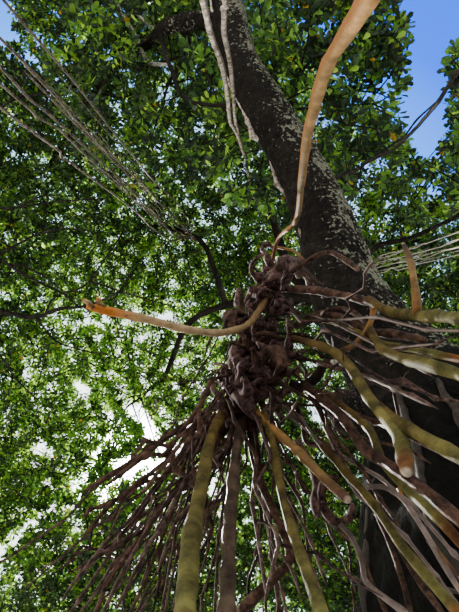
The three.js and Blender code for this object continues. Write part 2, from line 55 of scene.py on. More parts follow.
def lumps(points, size, seed):
    """Smooth random lumps between -1 and 1: a random height at each corner of a cubic lattice
    of this size, blended between the eight corners round a point."""
    place = np.asarray(points) / size + seed * 7.31
    cell = np.floor(place).astype(np.int64)
    part = place - cell
    part = part * part * (3 - 2 * part)
    total = np.zeros(place.shape[:-1])
    for corner in range(8):
        step = np.array([corner & 1, corner >> 1 & 1, corner >> 2 & 1])
        at = cell + step
        mixed = (at[..., 0] * 73856093) ^ (at[..., 1] * 19349663) ^ (at[..., 2] * 83492791)
        mixed = ((mixed & 0x7FFFFFFF) * 1103515245 + 12345) & 0x7FFFFFFF
        mixed = ((mixed ^ (mixed >> 13)) * 69069 + 1) & 0x7FFFFFFF
        height = (mixed % 20011) / 10005.0 - 1
        total += height * np.prod(np.where(step, part, 1 - part), axis=-1)
    return total


def closed_tube(rings):
    """A skin over rings of points, shape (rings, sides, 3), closed at each end by a fan to the
    end ring's middle. Returns points, four-sided faces and three-sided faces, facing out."""
    count, sides = rings.shape[:2]
    ends = np.array([rings[0].mean(axis=0), rings[-1].mean(axis=0)])
    points = np.vstack([rings.reshape(-1, 3), ends])
    ring, side = np.meshgrid(np.arange(count - 1), np.arange(sides), indexing="ij")
    here = ring * sides + side
    beside = ring * sides + (side + 1) % sides
    quads = np.stack([here, beside, beside + sides, here + sides], axis=-1).reshape(-1, 4)
    turn = np.arange(sides)
    onward = (turn + 1) % sides
    last = (count - 1) * sides
    low = np.stack([np.full(sides, count * sides), onward, turn], axis=-1)
    high = np.stack([np.full(sides, count * sides + 1), last + turn, last + onward], axis=-1)
    return points, quads, np.vstack([low, high])


def new_piece(name, shape, materials, nodes=(), dealt=None, along=None, smooth=True):
    """Puts points and faces into a mesh that rides on the tree. dealt gives each face's material,
    along each point's share of the way down its root. Smooth skins also carry the attribute
    east_facing, which runs from 0 on the side that faces west to 1 on the east side; the barks use it
    for lichen and painted light on the east side, and most roots for painted sunlit and shaded sides."""
    points, quads, triangles = shape
    mesh = bpy.data.meshes.new(name)
    corners = np.concatenate([quads.ravel(), triangles.ravel()]).astype(np.int32)
    sizes = np.concatenate([np.full(len(quads), 4), np.full(len(triangles), 3)])
    mesh.vertices.add(len(points))
    mesh.vertices.foreach_set("co", points.astype(np.float32).ravel())
    mesh.loops.add(len(corners))
    mesh.loops.foreach_set("vertex_index", corners)
    mesh.polygons.add(len(sizes))
    starts = np.concatenate([[0], np.cumsum(sizes)[:-1]]).astype(np.int32)
    mesh.polygons.foreach_set("loop_start", starts)
    for material in materials:
        mesh.materials.append(material)
    if dealt is not None:
        mesh.polygons.foreach_set("material_index", dealt.astype(np.int32))
    if along is not None:
        layer = mesh.attributes.new("along", "FLOAT", "POINT")
        layer.data.foreach_set("value", along.astype(np.float32))
    mesh.polygons.foreach_set("use_smooth", np.full(len(sizes), smooth))
    mesh.update(calc_edges=True)
    if smooth:
        facing = np.empty(len(points) * 3, np.float32)
        mesh.vertices.foreach_get("normal", facing)
        layer = mesh.attributes.new("east_facing", "FLOAT", "POINT")
        layer.data.foreach_set("value", 0.5 + 0.5 * facing[::3])
    piece = bpy.data.objects.new(name, mesh)
    bpy.context.scene.collection.objects.link(piece)
    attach(piece, "root")
    if nodes:
        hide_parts(*nodes)
    return piece


def add_node(tree, kind, settings=(), **inputs):
    """One shader node; settings are its own options, inputs its sockets by name, each a value or
    another node's output."""
    made = tree.nodes.new(kind)
    for option, value in dict(settings).items():
        setattr(made, option, value)
    for socket, value in inputs.items():
        target = made.inputs[socket.replace("_", " ")]
        if isinstance(value, bpy.types.NodeSocket):
            tree.links.new(value, target)
        else:
            target.default_value = value
    return made


def multiply_add(tree, value, times, plus=0.0):
    """A value times one number or value, plus another."""
    made = tree.nodes.new("ShaderNodeMath")
    made.operation = "MULTIPLY_ADD"
    for socket, given in zip(made.inputs, (value, times, plus)):
        if isinstance(given, bpy.types.NodeSocket):
            tree.links.new(given, socket)
        else:
            socket.default_value = given
    return made.outputs[0]


def ramp(tree, factor, stops):
    """A colour ramp: stops are (position, (red, green, blue))."""
    made = tree.nodes.new("ShaderNodeValToRGB")
    tree.links.new(factor, made.inputs["Fac"])
    elements = made.color_ramp.elements
    while len(elements) < len(stops):
        elements.new(0.5)
    for element, (position, colour) in zip(elements, stops):
        element.position = position
        element.color = (*colour, 1)
    return made.outputs["Color"]


def blend_colours(tree, factor, one, other, way="MIX"):
    """One colour mixed with another by a factor, in the way named."""
    made = add_node(tree, "ShaderNodeMix", {"data_type": "RGBA", "blend_type": way})
    for socket, value in ((0, factor), (6, one), (7, other)):
        if isinstance(value, bpy.types.NodeSocket):
            tree.links.new(value, made.inputs[socket])
        else:
            made.inputs[socket].default_value = value if socket == 0 else (*value, 1)
    return made.outputs[2]


def noise(tree, where, size, detail=4.0, rough=0.55):
    """Cloudy noise whose lumps are this many metres across."""
    made = add_node(tree, "ShaderNodeTexNoise", Vector=where, Scale=1 / size, Detail=detail,
                    Roughness=rough)
    return made.outputs["Fac"]


def blank_material(name):
    """A material with an empty node tree, the tree, and the place on the piece in metres."""
    material = bpy.data.materials.new(name)
    material.use_nodes = True
    tree = material.node_tree
    tree.nodes.clear()
    return material, tree, add_node(tree, "ShaderNodeTexCoord").outputs["Object"]


def wooden_skin(tree, colour, roughness, specular, height, strength, depth):
    """The surface of all wood: a colour, and a skin raised by a height pattern of this depth."""
    bump = add_node(tree, "ShaderNodeBump", Strength=strength, Distance=depth, Height=height)
    surface = add_node(tree, "ShaderNodeBsdfPrincipled", Base_Color=colour, Roughness=roughness,
                       Specular_IOR_Level=specular, Normal=bump.outputs["Normal"])
    add_node(tree, "ShaderNodeOutputMaterial", Surface=surface.outputs[0])


def bark(name, deep, face, lichen, edge, fleck=0.013, stretch=1.0, depth=0.012):
    """Bark: broad patches between a deep and a face colour, dark and light mottles, fine grain and
    fissures, all drawn out upwards by the stretch. Small flecks of lichen show where a fine noise
    passes the edge, more of them in drifts and on the east-facing side; the extra pale flecks on the
    east side are partly lichen and partly painted light, for the lit east edge."""
    material, tree, place = blank_material(name)
    drawn = add_node(tree, "ShaderNodeMapping", Vector=place, Scale=(1, 1, 1 / stretch))
    drawn = drawn.outputs["Vector"]
    grain = noise(tree, drawn, 0.022, 8, 0.7)
    colour = ramp(tree, noise(tree, drawn, 0.33, 5), [(0.30, deep), (0.68, face)])
    mottles = ramp(tree, noise(tree, drawn, 0.055, 5, 0.65),
                   [(0.36, (0.34, 0.33, 0.32)), (0.52, (0.9, 0.9, 0.9)), (0.70, (1.7, 1.65, 1.6))])
    colour = blend_colours(tree, 0.85, colour, mottles, "MULTIPLY")
    grainy = ramp(tree, grain, [(0.32, (0.22, 0.20, 0.19)), (0.62, (1.0, 1.0, 1.0))])
    colour = blend_colours(tree, 0.9, colour, grainy, "MULTIPLY")
    east_facing = add_node(tree, "ShaderNodeAttribute", {"attribute_name": "east_facing"}).outputs["Fac"]
    amount = multiply_add(tree, noise(tree, place, fleck, 3, 0.62), 0.5)
    amount = multiply_add(tree, noise(tree, place, 0.20, 3), 0.25, amount)
    # more pale flecks where the skin faces east: partly lichen, partly painted light on the lit east side
    amount = multiply_add(tree, east_facing, 0.14, amount)
    patch = ramp(tree, amount, [(edge, (0, 0, 0)), (edge + 0.03, (0.9, 0.9, 0.9))])
    colour = blend_colours(tree, patch, colour, lichen)
    cracks = add_node(tree, "ShaderNodeTexVoronoi", {"feature": "DISTANCE_TO_EDGE"},
                      Vector=drawn, Scale=26.0)
    height = multiply_add(tree, cracks.outputs["Distance"], 0.8, grain)
    wooden_skin(tree, colour, 0.8, 0.10, height, 1.0, depth)
    return material


# the trunk's bark colours are near black: painted shade, for the deep shade under the crown
trunk_bark = bark("trunk_bark", (0.005, 0.0040, 0.0030), (0.020, 0.0155, 0.0115),
                  (0.075, 0.075, 0.056), 0.53, fleck=0.02, stretch=3.5, depth=0.03)


def trunk_reach(radius, height, angle):
    """Trunk radius at a height and angle: the given radius times the sum of one, of two waves with
    five and nine crests to the turn, and of a flare that fades exponentially with height and is
    strongest on the lobes."""
    flare = np.exp(-height / FLARE_HEIGHT)
    lobe = 0.5 + 0.5 * np.cos(FLARE_LOBES * angle + 1.1 * np.sin(2 * angle))
    fold = 0.045 * np.cos(5 * angle + 0.9 * height) + 0.03 * np.cos(9 * angle + 2)
    return radius * (1 + fold + flare * (0.16 + 0.52 * lobe))


trunk_table = np.array(TRUNK_STATIONS)
trunk_height = np.linspace(0, 4.10, TRUNK_RINGS)[:, None]
trunk_angle = np.linspace(0, 2 * np.pi, TRUNK_SIDES, endpoint=False)[None, :]
trunk_x, trunk_y, trunk_radius = (
    np.interp(trunk_height, trunk_table[:, 2], trunk_table[:, k]) for k in (0, 1, 3))
trunk_out = trunk_reach(trunk_radius, trunk_height, trunk_angle)
upright = np.stack(np.broadcast_arrays(
    np.cos(trunk_angle) * 0.55, np.sin(trunk_angle) * 0.55, trunk_height / 5), axis=-1)
ridges = 1 - np.abs(lumps(upright, 0.10, 3))
trunk_out = trunk_out * (1 + 0.05 * (ridges ** 3 - 0.4) + 0.018 * lumps(upright * [1, 1, 4], 0.05, 5))
trunk_rings = np.stack([
    trunk_x + trunk_out * np.cos(trunk_angle),
    trunk_y + trunk_out * np.sin(trunk_angle),
    np.broadcast_to(trunk_height, trunk_out.shape)], axis=-1)
new_piece("trunk_skin", closed_tube(trunk_rings), [trunk_bark], ["trunk"])


# Main boughs. Each is one tapering limb of wood that leaves the fork or a thicker limb and ends
# where it enters its mass of leaves. The bark is dark, with grey-green lichen in drifts.
# name: stations [x, y, z, radius], and how many limb stations each stretch between them counts
BOUGHS = {
    "leader": ([
        [0.34, -0.44, 3.70, 0.31], [0.18, -0.71, 4.30, 0.285], [-0.04, -1.12, 4.58, 0.245],
        [-0.17, -1.76, 4.98, 0.215], [-0.49, -2.57, 5.40, 0.200], [-0.84, -3.37, 5.80, 0.174],
        [-1.00, -4.20, 6.12, 0.160], [-1.24, -5.10, 6.75, 0.125], [-1.66, -5.42, 7.40, 0.095],
    ], 1),
    "main_stem": ([
        [0.42, -0.40, 3.80, 0.27], [0.46, -0.68, 5.40, 0.225], [0.46, -0.96, 7.20, 0.180],
        [0.42, -1.08, 8.40, 0.150], [0.16, -1.06, 9.50, 0.110], [-0.10, -1.00, 10.20, 0.080],
    ], 1),
    "bough_stub": ([
        [0.46, -0.40, 3.90, 0.150], [0.12, -0.41, 4.02, 0.135], [-0.20, -0.44, 4.05, 0.115],
    ], 1),
    "bough_east": ([
        [0.42, -0.56, 4.00, 0.160], [0.72, -0.62, 4.42, 0.140], [1.70, -0.66, 5.10, 0.125],
        [3.10, -0.48, 5.62, 0.110], [4.46, -0.36, 5.95, 0.085],
    ], 2),
    "bough_back": ([
        [0.44, -0.34, 3.80, 0.250], [0.62, 0.35, 5.20, 0.185], [0.92, 1.85, 6.45, 0.150],
        [1.12, 3.05, 7.55, 0.100],
    ], 3),
    "bough_southwest": ([
        [0.16, -0.12, 2.85, 0.235], [-0.34, 0.96, 3.75, 0.195], [-1.60, 2.30, 5.00, 0.165],
        [-3.55, 3.25, 6.30, 0.135], [-4.62, 2.00, 7.35, 0.100], [-4.90, 1.30, 7.80, 0.080],
    ], 2),
    "bough_northwest": ([
        [-0.90, -3.72, 5.95, 0.095], [-1.22, -3.91, 6.05, 0.088], [-1.60, -3.93, 6.16, 0.078],
        [-1.88, -3.96, 6.50, 0.050], [-2.75, -3.96, 7.40, 0.044], [-3.75, -3.10, 8.05, 0.040],
    ], 2),
}


def smooth_path(stations, count):
    """A curve through stations [x, y, z, radius]: between two stations a cubic whose end slopes
    come from the neighbours, spaced by the square root of their distance. The radius goes
    straight from one station to the next. Returns the points and the radii."""
    table = np.asarray(stations, float)
    spots = table[:, :3]
    spots = np.vstack([2 * spots[0] - spots[1], spots, 2 * spots[-1] - spots[-2]])
    gaps = np.sqrt(np.linalg.norm(np.diff(spots, axis=0), axis=1))
    share = np.linspace(0, len(table) - 1, count)
    span = np.minimum(share.astype(int), len(table) - 2)
    part = (share - span)[:, None]
    a, b, c, d = (spots[span + k] for k in range(4))
    before, here, after = (gaps[span + k][:, None] for k in range(3))
    leave = ((b - a) / before - (c - a) / (before + here) + (c - b) / here) * here
    arrive = ((c - b) / here - (d - b) / (here + after) + (d - c) / after) * here
    cubic = 3 * (c - b) - 2 * leave - arrive + part * (2 * (b - c) + leave + arrive)
    points = b + part * (leave + part * cubic)
    radius = table[span, 3] * (1 - part[:, 0]) + table[span + 1, 3] * part[:, 0]
    return points, radius


def unit(vectors):
    """Each vector over its own length."""
    return vectors / np.maximum(np.linalg.norm(vectors, axis=-1, keepdims=True), 1e-9)


def along_frames(points):
    """The direction of a path at each point, and two directions square to it. The second of these
    keeps close to the line that the path bends about, so the rings don't twist."""
    along = unit(np.gradient(points, axis=0))
    about = np.linalg.svd(along, full_matrices=False)[2][-1]
    across = unit(np.cross(along, about))
    return along, across, np.cross(along, across)


def limb_shape(stations, relief, seed, collar=0.22, sides=None, close=90.0):
    """A round profile carried along a smooth path. Its radius is multiplied by one plus the collar,
    which fades exponentially from the foot, and by one plus the relief times lumps of three sizes:
    long ridges along the limb, knobs and small warts."""
    length = np.sum(np.linalg.norm(np.diff(np.array(stations)[:, :3], axis=0), axis=1))
    thick = stations[0][3]
    count = int(np.clip(length / max(thick * 0.16, 1 / close), 14, 260))
    sides = sides or int(np.clip(thick * 330, 10, 72))
    points, radius = smooth_path(stations, count)
    along, across, up = along_frames(points)
    angle = np.linspace(0, 2 * np.pi, sides, endpoint=False)
    outward = across[:, None] * np.cos(angle)[:, None] + up[:, None] * np.sin(angle)[:, None]
    run = np.concatenate([[0], np.cumsum(np.linalg.norm(np.diff(points, axis=0), axis=1))])
    grow = 1 + collar * np.exp(-run / (2.2 * thick))
    reach = (radius * grow)[:, None]
    flow = np.stack(np.broadcast_arrays(
        np.cos(angle)[None, :], np.sin(angle)[None, :], run[:, None] / (thick * 9)), axis=-1)
    spots = points[:, None] + outward * reach[..., None]
    bumps = relief * (0.9 * lumps(flow, 0.55, seed) + 0.7 * lumps(spots, thick * 0.55, seed + 1)
                      + 0.55 * lumps(spots, thick * 0.16, seed + 2))
    return closed_tube(points[:, None] + outward * (reach * (1 + bumps))[..., None])


bough_bark = bark("bough_bark", (0.0080, 0.0063, 0.0051), (0.030, 0.0238, 0.0188),
                  (0.27, 0.27, 0.195), 0.485, fleck=0.026, stretch=1.6, depth=0.03)
stub_bark = bark("stub_bark", (0.018, 0.0145, 0.012), (0.070, 0.058, 0.048),
                 (0.30, 0.27, 0.22), 0.50, depth=0.02)
for order, (bough, (stations, _)) in enumerate(BOUGHS.items()):
    rough = 0.10 if bough == "bough_stub" else 0.08
    finish = stub_bark if bough == "bough_stub" else bough_bark
    new_piece(f"{bough}_skin", limb_shape(stations, rough, 20 + 3 * order), [finish], [bough])


# Lesser limbs. One springs from a bough for each mass that no bough reaches, leaves along its
# parent and turns to enter the mass. Their bark is younger and smoother.
# the crown's middle, and a lesser limb's radius at its tip
CROWN_X, CROWN_Y, TIP_RADIUS = -0.5, -0.8, 0.044
# lesser limbs that bend round others
OWN_BENDS = {
    "limb_upper_west": ([
        [0.42, -1.08, 8.30, 0.080], [-0.28, -1.10, 8.58, 0.066], [-0.98, -1.02, 8.84, 0.058],
        [-1.80, -0.70, 9.02, 0.048], [-2.32, 0.22, 9.50, 0.042],
    ], 2),
    "limb_upper_northwest": ([
        [-1.20, -0.95, 8.88, 0.048], [-1.38, -1.45, 9.02, 0.044], [-1.66, -2.05, 9.24, 0.042],
        [-2.36, -2.38, 9.66, 0.040],
    ], 1),
    "limb_upper_north": ([
        [0.42, -1.06, 8.20, 0.095], [-0.12, -1.42, 8.72, 0.078], [-0.38, -2.20, 9.02, 0.066],
        [-0.62, -3.16, 9.44, 0.040],
    ], 2),
    "limb_inner_east": ([
        [0.46, -0.90, 6.55, 0.040], [0.56, -1.60, 6.38, 0.028], [0.94, -1.72, 6.34, 0.024],
        [1.44, -1.96, 6.32, 0.022], [1.64, -2.14, 6.10, 0.021],
    ], 1),
}
# name, azimuth in degrees, distance, height, half width, bearing limb, place along it, seed
MASSES = [
    ("crown_top", 300, 0.3, 11.25, 2.25, "main_stem", None, 11),
    ("upper_east", 2, 3.5, 9.95, 2.25, "main_stem", 0.72, 12),
    ("upper_south", 72, 3.5, 10.0, 2.25, "bough_back", 0.66, 13),
    ("upper_west", 146, 3.4, 10.1, 2.3, "limb_upper_west", None, 14),
    ("upper_northwest", 206, 3.5, 10.1, 2.25, "limb_upper_northwest", None, 15),
    ("upper_north", 264, 3.4, 10.0, 2.15, "limb_upper_north", None, 16),
    ("middle_northeast", 338, 5.0, 8.3, 2.15, "bough_east", 0.42, 17),
    ("middle_east", 23, 5.1, 8.2, 2.25, "bough_east", 0.60, 18),
    ("middle_south", 70, 5.1, 8.3, 2.25, "bough_back", None, 19),
    ("middle_southwest", 115, 5.1, 8.3, 2.25, "bough_southwest", 0.52, 20),
    ("middle_west", 163, 5.1, 8.3, 2.25, "bough_southwest", None, 21),
    ("middle_northwest", 205, 5.0, 8.3, 2.15, "bough_northwest", None, 22),
    ("middle_north", 250, 5.0, 8.2, 2.15, "leader", None, 23),
    ("low_east", 4, 6.5, 6.2, 2.2, "bough_east", None, 24),
    ("low_southeast", 50, 6.6, 6.2, 2.2, "bough_back", 0.36, 25),
    ("low_south", 98, 6.6, 6.1, 2.2, "bough_southwest", 0.38, 26),
    ("low_southwest", 146, 6.6, 6.2, 2.2, "bough_southwest", 0.56, 27),
    ("low_west", 194, 6.6, 6.3, 2.2, "bough_southwest", 0.86, 28),
    ("low_northwest", 242, 6.6, 6.1, 2.2, "leader", 0.86, 29),
    ("low_northeast", 302, 6.5, 6.2, 2.2, "leader", 0.75, 30),
    ("inner_north", 276, 2.5, 6.45, 1.40, "leader", 0.50, 31),
    ("inner_east", 323, 2.85, 5.6, 1.10, "limb_inner_east", None, 32),
    ("inner_northeast", 332, 2.4, 8.15, 1.80, "main_stem", 0.52, 33),
    ("inner_northwest", 246, 3.3, 7.1, 1.50, "bough_northwest", 0.34, 34),
]
limb_routes = {}
for limb, (stations, steps) in {**BOUGHS, **OWN_BENDS}.items():
    spots, radii = smooth_path(stations, (len(stations) - 1) * steps + 1)
    limb_routes[limb] = np.column_stack([spots, radii])


def joined(shapes):
    """Several (points, quads, triangles) as one, their point numbers moved on."""
    start = np.cumsum([0] + [len(shape[0]) for shape in shapes])
    points = np.vstack([shape[0] for shape in shapes])
    quads = np.vstack([shape[1] + first for shape, first in zip(shapes, start)])
    triangles = np.vstack([shape[2] + first for shape, first in zip(shapes, start)])
    return points, quads, triangles


def heading_at(route, index):
    """The direction from the station before to the station after."""
    return unit(route[min(index + 1, len(route) - 1), :3] - route[max(index - 1, 0), :3])


def limb_to_mass(centre, half, parent, place):
    """A bent limb: a cubic that leaves along its parent and turns to point at the mass's middle,
    ending about half way in."""
    index = min(len(parent) - 2, int(np.floor(place * (len(parent) - 1) + 0.5)))
    start = parent[index, :3]
    toward = (start - centre) * [1, 1, 0.7]
    end = centre + unit(toward) * 0.52 * half
    reach = np.linalg.norm(end - start)
    first = start + heading_at(parent, index) * 0.30 * reach + [0, 0, 0.05 * reach]
    second = end - unit(centre - end) * 0.30 * reach
    thick = min(0.62 * parent[index, 3], TIP_RADIUS + 0.012 * reach)
    share = np.linspace(0, 1, max(3, int(np.floor(reach / 0.9 + 0.5))) + 1)[:, None]
    route = ((1 - share) ** 3 * start + 3 * share * (1 - share) ** 2 * first
             + 3 * share ** 2 * (1 - share) * second + share ** 3 * end)
    radius = thick * (1 - share) + min(TIP_RADIUS, thick) * share
    return np.hstack([route, radius])


mass_centre, mass_half, mass_limb = [], [], []
young_shapes, young_nodes = [], []
for name, azimuth, distance, height, half, bearer, place, seed in MASSES:
    angle = np.radians(azimuth)
    centre = np.array([CROWN_X + distance * np.cos(angle), CROWN_Y + distance * np.sin(angle), height])
    route = limb_routes[bearer]
    if place is not None:
        route = limb_to_mass(centre, half, route, place)
        limb_routes[f"limb_{name}"] = route
        young_nodes.append(f"limb_{name}")
        young_shapes.append(limb_shape(route.tolist(), 0.07, seed * 5, collar=0.35, sides=14, close=24))
    mass_centre.append(centre)
    mass_half.append(half)
    mass_limb.append(route)
mass_centre = np.array(mass_centre)
mass_half = np.array(mass_half)
for order, (limb, (stations, _)) in enumerate(OWN_BENDS.items()):
    young_nodes.append(limb)
    young_shapes.append(limb_shape(stations, 0.08, 200 + 3 * order, collar=0.35))
young_bark = bark("young_bark", (0.010, 0.0075, 0.006), (0.034, 0.026, 0.021),
                  (0.13, 0.13, 0.10), 0.515, depth=0.008)
new_piece("lesser_limbs", joined(young_shapes), [young_bark], young_nodes)


# Bare side branches: crooked dark ones on the side bough and one past the far side of the leader,
# pale hooked ones near the leader's top, and a spray of thin dark ones under the leaves, which
# springs from the low west limb.
CROOKED = [  # x, y, z, radius
    [[-1.68, -3.90, 6.20, 0.027], [-1.62, -3.63, 6.10, 0.024], [-1.54, -3.42, 6.05, 0.022],
     [-1.40, -3.09, 5.95, 0.021], [-1.18, -2.98, 5.85, 0.019], [-0.62, -2.86, 5.62, 0.018]],
    [[-1.45, -3.92, 6.18, 0.013], [-1.22, -3.69, 6.16, 0.012], [-1.14, -3.41, 6.10, 0.011],
     [-1.14, -3.05, 5.92, 0.009]],
    [[-1.72, -3.93, 6.26, 0.019], [-2.15, -3.97, 6.65, 0.015], [-2.78, -4.09, 7.05, 0.013],
     [-3.39, -4.22, 7.55, 0.010]],
    [[-0.17, -1.98, 5.05, 0.015], [0.31, -2.32, 5.75, 0.012], [0.57, -2.53, 5.95, 0.011],
     [0.87, -2.79, 6.35, 0.010], [1.11, -3.08, 6.65, 0.012], [1.50, -3.47, 7.05, 0.009],
     [1.96, -4.00, 7.55, 0.007]],
]
HOOKS = [
    [[-2.66, -5.30, 7.05, 0.016], [-2.39, -4.68, 6.85, 0.018], [-2.06, -4.09, 6.65, 0.019],
     [-1.89, -3.72, 6.45, 0.019], [-1.70, -3.60, 6.28, 0.018], [-1.57, -3.50, 6.08, 0.016]],
    [[-2.42, -5.24, 7.05, 0.014], [-2.24, -4.67, 6.85, 0.016], [-1.74, -3.93, 6.28, 0.018]],
]
# the first three each spring from this station of the low west limb
FROM_LOW_WEST = [2, 3, 4]
THIN_BRANCHES = [
    [[-4.70, -0.44, 7.15, 0.036], [-4.06, -0.90, 6.95, 0.033], [-3.45, -0.85, 6.90, 0.028],
     [-3.10, -0.96, 6.85, 0.023], [-2.85, -0.98, 6.85, 0.019], [-2.63, -1.04, 6.85, 0.015],
     [-2.36, -1.19, 6.90, 0.011], [-2.25, -1.39, 6.95, 0.007]],
    [[-4.14, -1.61, 7.05, 0.021], [-3.69, -1.42, 7.00, 0.018], [-3.40, -1.28, 6.95, 0.016],
     [-3.06, -1.13, 6.90, 0.014], [-2.88, -0.99, 6.87, 0.011]],
    [[-4.19, -2.27, 7.15, 0.018], [-3.81, -2.25, 7.10, 0.015], [-3.44, -2.38, 7.05, 0.012],
     [-3.18, -2.40, 7.05, 0.008]],
    [[-3.30, -0.88, 6.87, 0.015], [-3.20, -1.07, 6.85, 0.014], [-3.07, -1.15, 6.85, 0.013],
     [-2.91, -1.18, 6.85, 0.012], [-2.75, -1.27, 6.85, 0.011], [-2.63, -1.43, 6.85, 0.010],
     [-2.51, -1.62, 6.90, 0.009], [-2.40, -1.81, 6.95, 0.008], [-2.30, -1.98, 6.95, 0.006]],
    [[-3.90, -1.53, 7.03, 0.014], [-3.69, -1.50, 7.05, 0.012], [-3.45, -1.40, 7.05, 0.011],
     [-3.16, -1.19, 7.05, 0.008]],
    [[-2.72, -1.30, 6.85, 0.011], [-2.55, -1.24, 6.85, 0.010], [-2.32, -1.16, 6.85, 0.009],
     [-2.10, -1.10, 6.85, 0.008], [-1.75, -1.00, 6.85, 0.006]],
    [[-2.36, -1.19, 6.90, 0.010], [-2.43, -1.02, 6.85, 0.009], [-2.40, -0.80, 6.85, 0.008],
     [-2.33, -0.55, 6.85, 0.006]],
    [[-3.43, -0.85, 6.90, 0.014], [-3.17, -0.57, 6.85, 0.011], [-2.98, -0.49, 6.85, 0.010],
     [-2.70, -0.42, 6.85, 0.008], [-2.51, -0.39, 6.85, 0.007], [-2.50, -0.28, 6.85, 0.006]],
    [[-4.70, -0.44, 7.15, 0.018], [-4.15, -0.55, 7.05, 0.016], [-3.96, -0.36, 7.00, 0.014],
     [-3.80, -0.17, 6.95, 0.012], [-3.65, 0.01, 6.95, 0.010], [-3.42, 0.22, 6.95, 0.007]],
    [[-3.84, -2.25, 7.10, 0.014], [-3.51, -2.28, 7.05, 0.012], [-3.18, -2.32, 7.05, 0.010],
     [-2.66, -2.34, 7.05, 0.007]],
    [[-4.14, -1.61, 7.05, 0.018], [-3.78, -1.76, 7.05, 0.016], [-3.38, -1.94, 7.05, 0.014],
     [-2.92, -1.96, 7.05, 0.011], [-2.68, -1.91, 7.05, 0.007]],
    [[-2.75, -3.96, 7.40, 0.024], [-3.12, -3.83, 7.25, 0.022], [-3.48, -3.72, 7.15, 0.019],
     [-3.74, -3.66, 7.10, 0.017], [-3.96, -3.52, 7.05, 0.014], [-4.22, -3.37, 7.05, 0.009]],
    [[-3.01, -3.88, 7.30, 0.013], [-2.72, -3.75, 7.25, 0.012], [-2.39, -3.69, 7.25, 0.010],
     [-2.11, -3.84, 7.25, 0.007]],
    [[-2.06, -4.09, 6.66, 0.016], [-2.35, -4.08, 6.85, 0.015], [-2.58, -3.97, 6.85, 0.012],
     [-2.89, -3.85, 6.85, 0.009], [-3.10, -3.80, 6.85, 0.006]],
]
for route, station in zip(THIN_BRANCHES, FROM_LOW_WEST):
    route.insert(0, [*limb_routes["limb_low_west"][station, :3], route[0][3] * 1.1])
new_piece("crooked_branches", joined([
    limb_shape(route, 0.16, 300 + 3 * k, collar=0.4, sides=9) for k, route in enumerate(CROOKED)]),
    [young_bark])
new_piece("thin_branches", joined([
    limb_shape(route, 0.20, 360 + 3 * k, collar=0.3, sides=7, close=30)
    for k, route in enumerate(THIN_BRANCHES)]), [young_bark])
hook_bark = bark("hook_bark", (0.10, 0.085, 0.070), (0.34, 0.30, 0.25), (0.75, 0.70, 0.60), 0.43,
                 depth=0.01)
new_piece("hooked_branches", joined([
    limb_shape(route, 0.16, 330 + 3 * k, collar=0.2, sides=9) for k, route in enumerate(HOOKS)]),
    [hook_bark])


# Leaves and twigs. A stem on each limb's tip bears main twigs, then side twigs that each reach for
# the barest spot left, and shoots that end in whorls of blunt glossy leaves. Growth keeps to the
# mass's own space, clear of the limbs, and open where sky shows through the crown.

# height of a mass over its width, room kept to the neighbours' border, and the golden angle
SQUASH, MARGIN, GOLDEN = 0.64, 0.016, 2.39996
# main twigs of a mass, and of one with less than this half width; how far out into it they reach
MAIN_TWIGS, SMALL_MASS_TWIGS, SMALL_MASS, MAIN_REACH = 7, 5, 1.6, 0.62
# shoots on a side twig, the lengths between which they lie, and how much they turn upwards
SHOOTS, SHOOT_LENGTHS, SHOOT_LIFT = 9, (0.14, 0.36), 0.42
# leaves of a whorl, the length of shoot that bears them, and a leaf's area over its length squared
WHORL, WHORL_LENGTH, LEAF_AREA = 14, 0.220, 0.16
# room between side twigs and limbs, between shoots and limbs, and at the outside of the mass
LIMB_ROOM, SHOOT_ROOM, SPACE_ROOM = 0.12, 0.11, 0.03
# radii of main twigs at foot and tip, of side twigs at foot, bend and tip, and of shoots
MAIN_RADII, SIDE_RADII, SHOOT_RADIUS = (0.021, 0.009), (0.0095, 0.007, 0.004), 0.0045
# random points tried in each mass
SPOTS_TRIED = 6000
# side twigs to the cubic metre and leaf length: inner masses, and all others
NEAR_GROWTH = (5.8, 0.095)
FINE_GROWTH = (7.4, 0.089)
# along, across and out of the blade, over its length: leaves of the inner masses, and the rest
NEAR_LEAF = np.array([
    [0.00, 0.00, 0.00], [0.42, -0.20, 0.045], [0.80, -0.25, 0.050],
    [1.00, 0.00, -0.020], [0.80, 0.25, 0.050], [0.42, 0.20, 0.045]])
FAR_LEAF = np.array([
    [0.00, 0.00, 0.00], [0.60, -0.27, 0.100], [1.00, 0.00, 0.010], [0.60, 0.27, 0.100]])
# the camera's place, the way it looks, and the right and the down of its picture
CAMERA_AT = np.array([-0.62, -1.10, 1.35])
LOOKING = unit(np.array([-0.0707, 0.0196, 1.0]))
PICTURE_RIGHT = unit(np.array([1.0, 0, 0]) - LOOKING[0] * LOOKING)
PICTURE_DOWN = np.cross(LOOKING, PICTURE_RIGHT)
PICTURE_WIDE, PICTURE_HIGH = 459, 612
FOCAL_PIXELS = 460
# pixel across, pixel down and radius in pixels of each clear opening
SKY_OPENINGS = np.array([
    [428, 8, 17], [429, 28, 18], [427, 48, 18], [425, 68, 18], [427, 88, 20], [424, 106, 23],
    [426, 128, 23], [428, 146, 15], [135, 409, 10], [143, 419, 7], [150, 430, 8], [155, 437, 6],
    [192, 430, 8], [204, 422, 5], [160, 448, 7], [140, 461, 8], [127, 469, 11], [152, 466, 8],
    [167, 464, 8], [178, 453, 7], [150, 482, 6], [41, 449, 8], [49, 453, 5], [36, 467, 6],
    [47, 484, 5], [79, 387, 6], [87, 392, 5], [67, 391, 4], [43, 377, 5], [33, 363, 4],
    [122, 148, 4], [313, 402, 9], [320, 416, 9], [340, 392, 5]])
# side in pixels of one square of the picture, the layers of leaves wanted over each, and the
# bounds of how much thinner or thicker the growth there may be made
SQUARE = 27
WANTED_LAYERS = 7.0
LEAST_THICK, MOST_THICK = 0.6, 8.0
